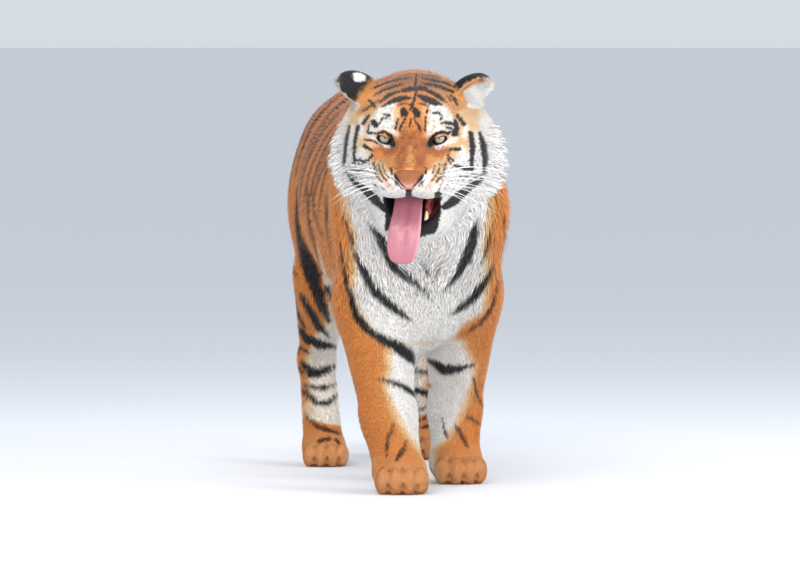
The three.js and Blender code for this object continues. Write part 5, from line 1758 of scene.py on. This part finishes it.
class TIGER_OT_whiskers(bpy.types.Operator):
    """Stiff white whiskers from the lip pads, and a few over the eyes"""

    bl_idname = "tiger.whiskers"
    bl_label = "Whiskers"

    def execute(self, context):
        settings = context.scene.tiger_whiskers
        rng = np.random.default_rng(29)
        rings, sides, brows = 9, 5, 3
        hairs = []
        for side in (-1, 1):
            for k in range(settings.count + brows):
                over_eye = k - settings.count
                row, place = k % 4, k // 4
                if over_eye >= 0:
                    root = np.array([side * (52 + 6 * over_eye), -26, 34])
                    way = np.array([side * (0.25 + 0.2 * over_eye), -0.25, 1.0])
                    length, droop, thick = 42.0 + 9 * rng.random(), 0.1, 0.55
                else:
                    root = np.array([side * (42 + 8 * place), -112 + 11 * place, -66 - 9 * row])
                    way = np.array([side, -0.10 + 0.14 * place, 0.32 - 0.15 * row + 0.07 * rng.normal()])
                    length = settings.length * 1000 * (0.66 + 0.11 * place) * rng.uniform(0.8, 1.0)
                    length *= 1.3 if side > 0 else 1.0
                    droop, thick = rng.uniform(0.2, 0.45), 0.85
                hairs.append(whisker(root, way, length, droop, thick, rings, sides))
        first = len(hairs[0]) * np.arange(len(hairs))[:, None, None]
        triangles = (whisker_triangles(rings, sides) + first).reshape(-1, 3)
        points = np.concatenate(hairs)
        colours = np.tile(linear(250, 248, 244), (len(points), 1))
        material = tinted_material("Whisker", 0.35, 300, 0.1, 0.0)
        piece("whiskers", points, triangles, colours, material, "coat")
        return {"FINISHED"}


class TIGER_OT_stage(bpy.types.Operator):
    """Pale floor, soft lights and the camera"""

    bl_idname = "tiger.stage"
    bl_label = "Stage"

    def execute(self, context):
        settings = context.scene.tiger_stage
        scene = context.scene
        side = 400.0
        mesh = bpy.data.meshes.new("floor")
        corners = [(-side, -side, 0), (side, -side, 0), (side, side, 0), (-side, side, 0)]
        mesh.from_pydata(corners, [], [(0, 1, 2, 3)])
        floor = bpy.data.objects.new("floor", mesh)
        scene.collection.objects.link(floor)
        material = bpy.data.materials.new("Pale floor")
        material.use_nodes = True
        set_inputs(material.node_tree.nodes["Principled BSDF"],
                   {"Base Color": (*settings.floor, 1), "Roughness": 0.9})
        mesh.materials.append(material)

        world = bpy.data.worlds.new("Studio")
        world.use_nodes = True
        set_inputs(world.node_tree.nodes["Background"], {"Color": (0.86, 0.92, 1.0, 1), "Strength": 0.78})
        scene.world = world
        for name, place, size, power, colour in (
            ("key", (-2.2, -4.5, 4.2), 2.6, 150, (1.0, 0.975, 0.94)),
            ("fill", (3.8, -3.2, 2.0), 2.8, 115, (0.96, 0.98, 1.0)),
            ("low", (-0.4, -6.5, 1.1), 3.0, 180, (1.0, 0.98, 0.96)),
            ("top", (0.2, 0.6, 4.6), 3.0, 70, (0.95, 0.97, 1.0)),
        ):
            light = bpy.data.lights.new(name, "AREA")
            light.shape, light.size, light.energy, light.color = "SQUARE", size, power, colour
            self.placed(light, place, Vector((0, -0.4, 0.5)) - Vector(place))

        _, _, forward = view_axes(VIEW_AZIMUTH, VIEW_ELEVATION)
        target = to_row([[-45, -500, 455]])[0]
        data = bpy.data.cameras.new("camera")
        data.sensor_width, data.lens, data.clip_end = 36, settings.lens, 200
        scene.camera = self.placed(data, target - settings.distance * forward, forward)
        scene.view_settings.view_transform = "Standard"
        return {"FINISHED"}

    def placed(self, data, place, way):
        """An object for a light or a camera, at a place and looking along a way."""
        obj = bpy.data.objects.new(data.name, data)
        obj.location = Vector(place)
        obj.rotation_euler = Vector(way).to_track_quat("-Z", "Y").to_euler()
        bpy.context.scene.collection.objects.link(obj)
        return obj


class TIGER_PT_panel(bpy.types.Panel):
    """Pieces of the tiger, in the order in which they are made"""

    bl_idname = "TIGER_PT_panel"
    bl_label = "Siberian tiger"
    bl_space_type = "VIEW_3D"
    bl_region_type = "UI"
    bl_category = "Tiger"

    def draw(self, context):
        for group, operators in SECTIONS:
            box = self.layout.box()
            settings = getattr(context.scene, group)
            for name in settings.bl_rna.properties.keys():
                if name not in ("rna_type", "name"):
                    box.prop(settings, name)
            for operator in operators:
                box.operator(operator.bl_idname)


SECTIONS = [
    ("tiger_coat", [TIGER_OT_skin, TIGER_OT_coat]),
    ("tiger_eyes", [TIGER_OT_eyes]),
    ("tiger_mouth", [TIGER_OT_nose, TIGER_OT_mouth]),
    ("tiger_whiskers", [TIGER_OT_whiskers]),
    ("tiger_stage", [TIGER_OT_stage]),
]
SETTINGS = {
    "tiger_coat": TigerCoatSettings, "tiger_eyes": TigerEyeSettings, "tiger_mouth": TigerMouthSettings,
    "tiger_whiskers": TigerWhiskerSettings, "tiger_stage": TigerStageSettings,
}
OPERATORS = [operator for _, operators in SECTIONS for operator in operators]
CLASSES = [*SETTINGS.values(), *OPERATORS, TIGER_PT_panel]


def register():
    for cls in CLASSES:
        bpy.utils.register_class(cls)
    for name, settings in SETTINGS.items():
        setattr(bpy.types.Scene, name, bpy.props.PointerProperty(type=settings))


def unregister():
    for name in SETTINGS:
        delattr(bpy.types.Scene, name)
    for cls in reversed(CLASSES):
        bpy.utils.unregister_class(cls)


def main():
    """Makes every piece in order."""
    register()
    bpy.ops.tiger.skin()
    bpy.ops.tiger.coat()
    bpy.ops.tiger.eyes()
    bpy.ops.tiger.nose()
    bpy.ops.tiger.mouth()
    bpy.ops.tiger.whiskers()
    bpy.ops.tiger.stage()


if __name__ == "__main__":
    main()
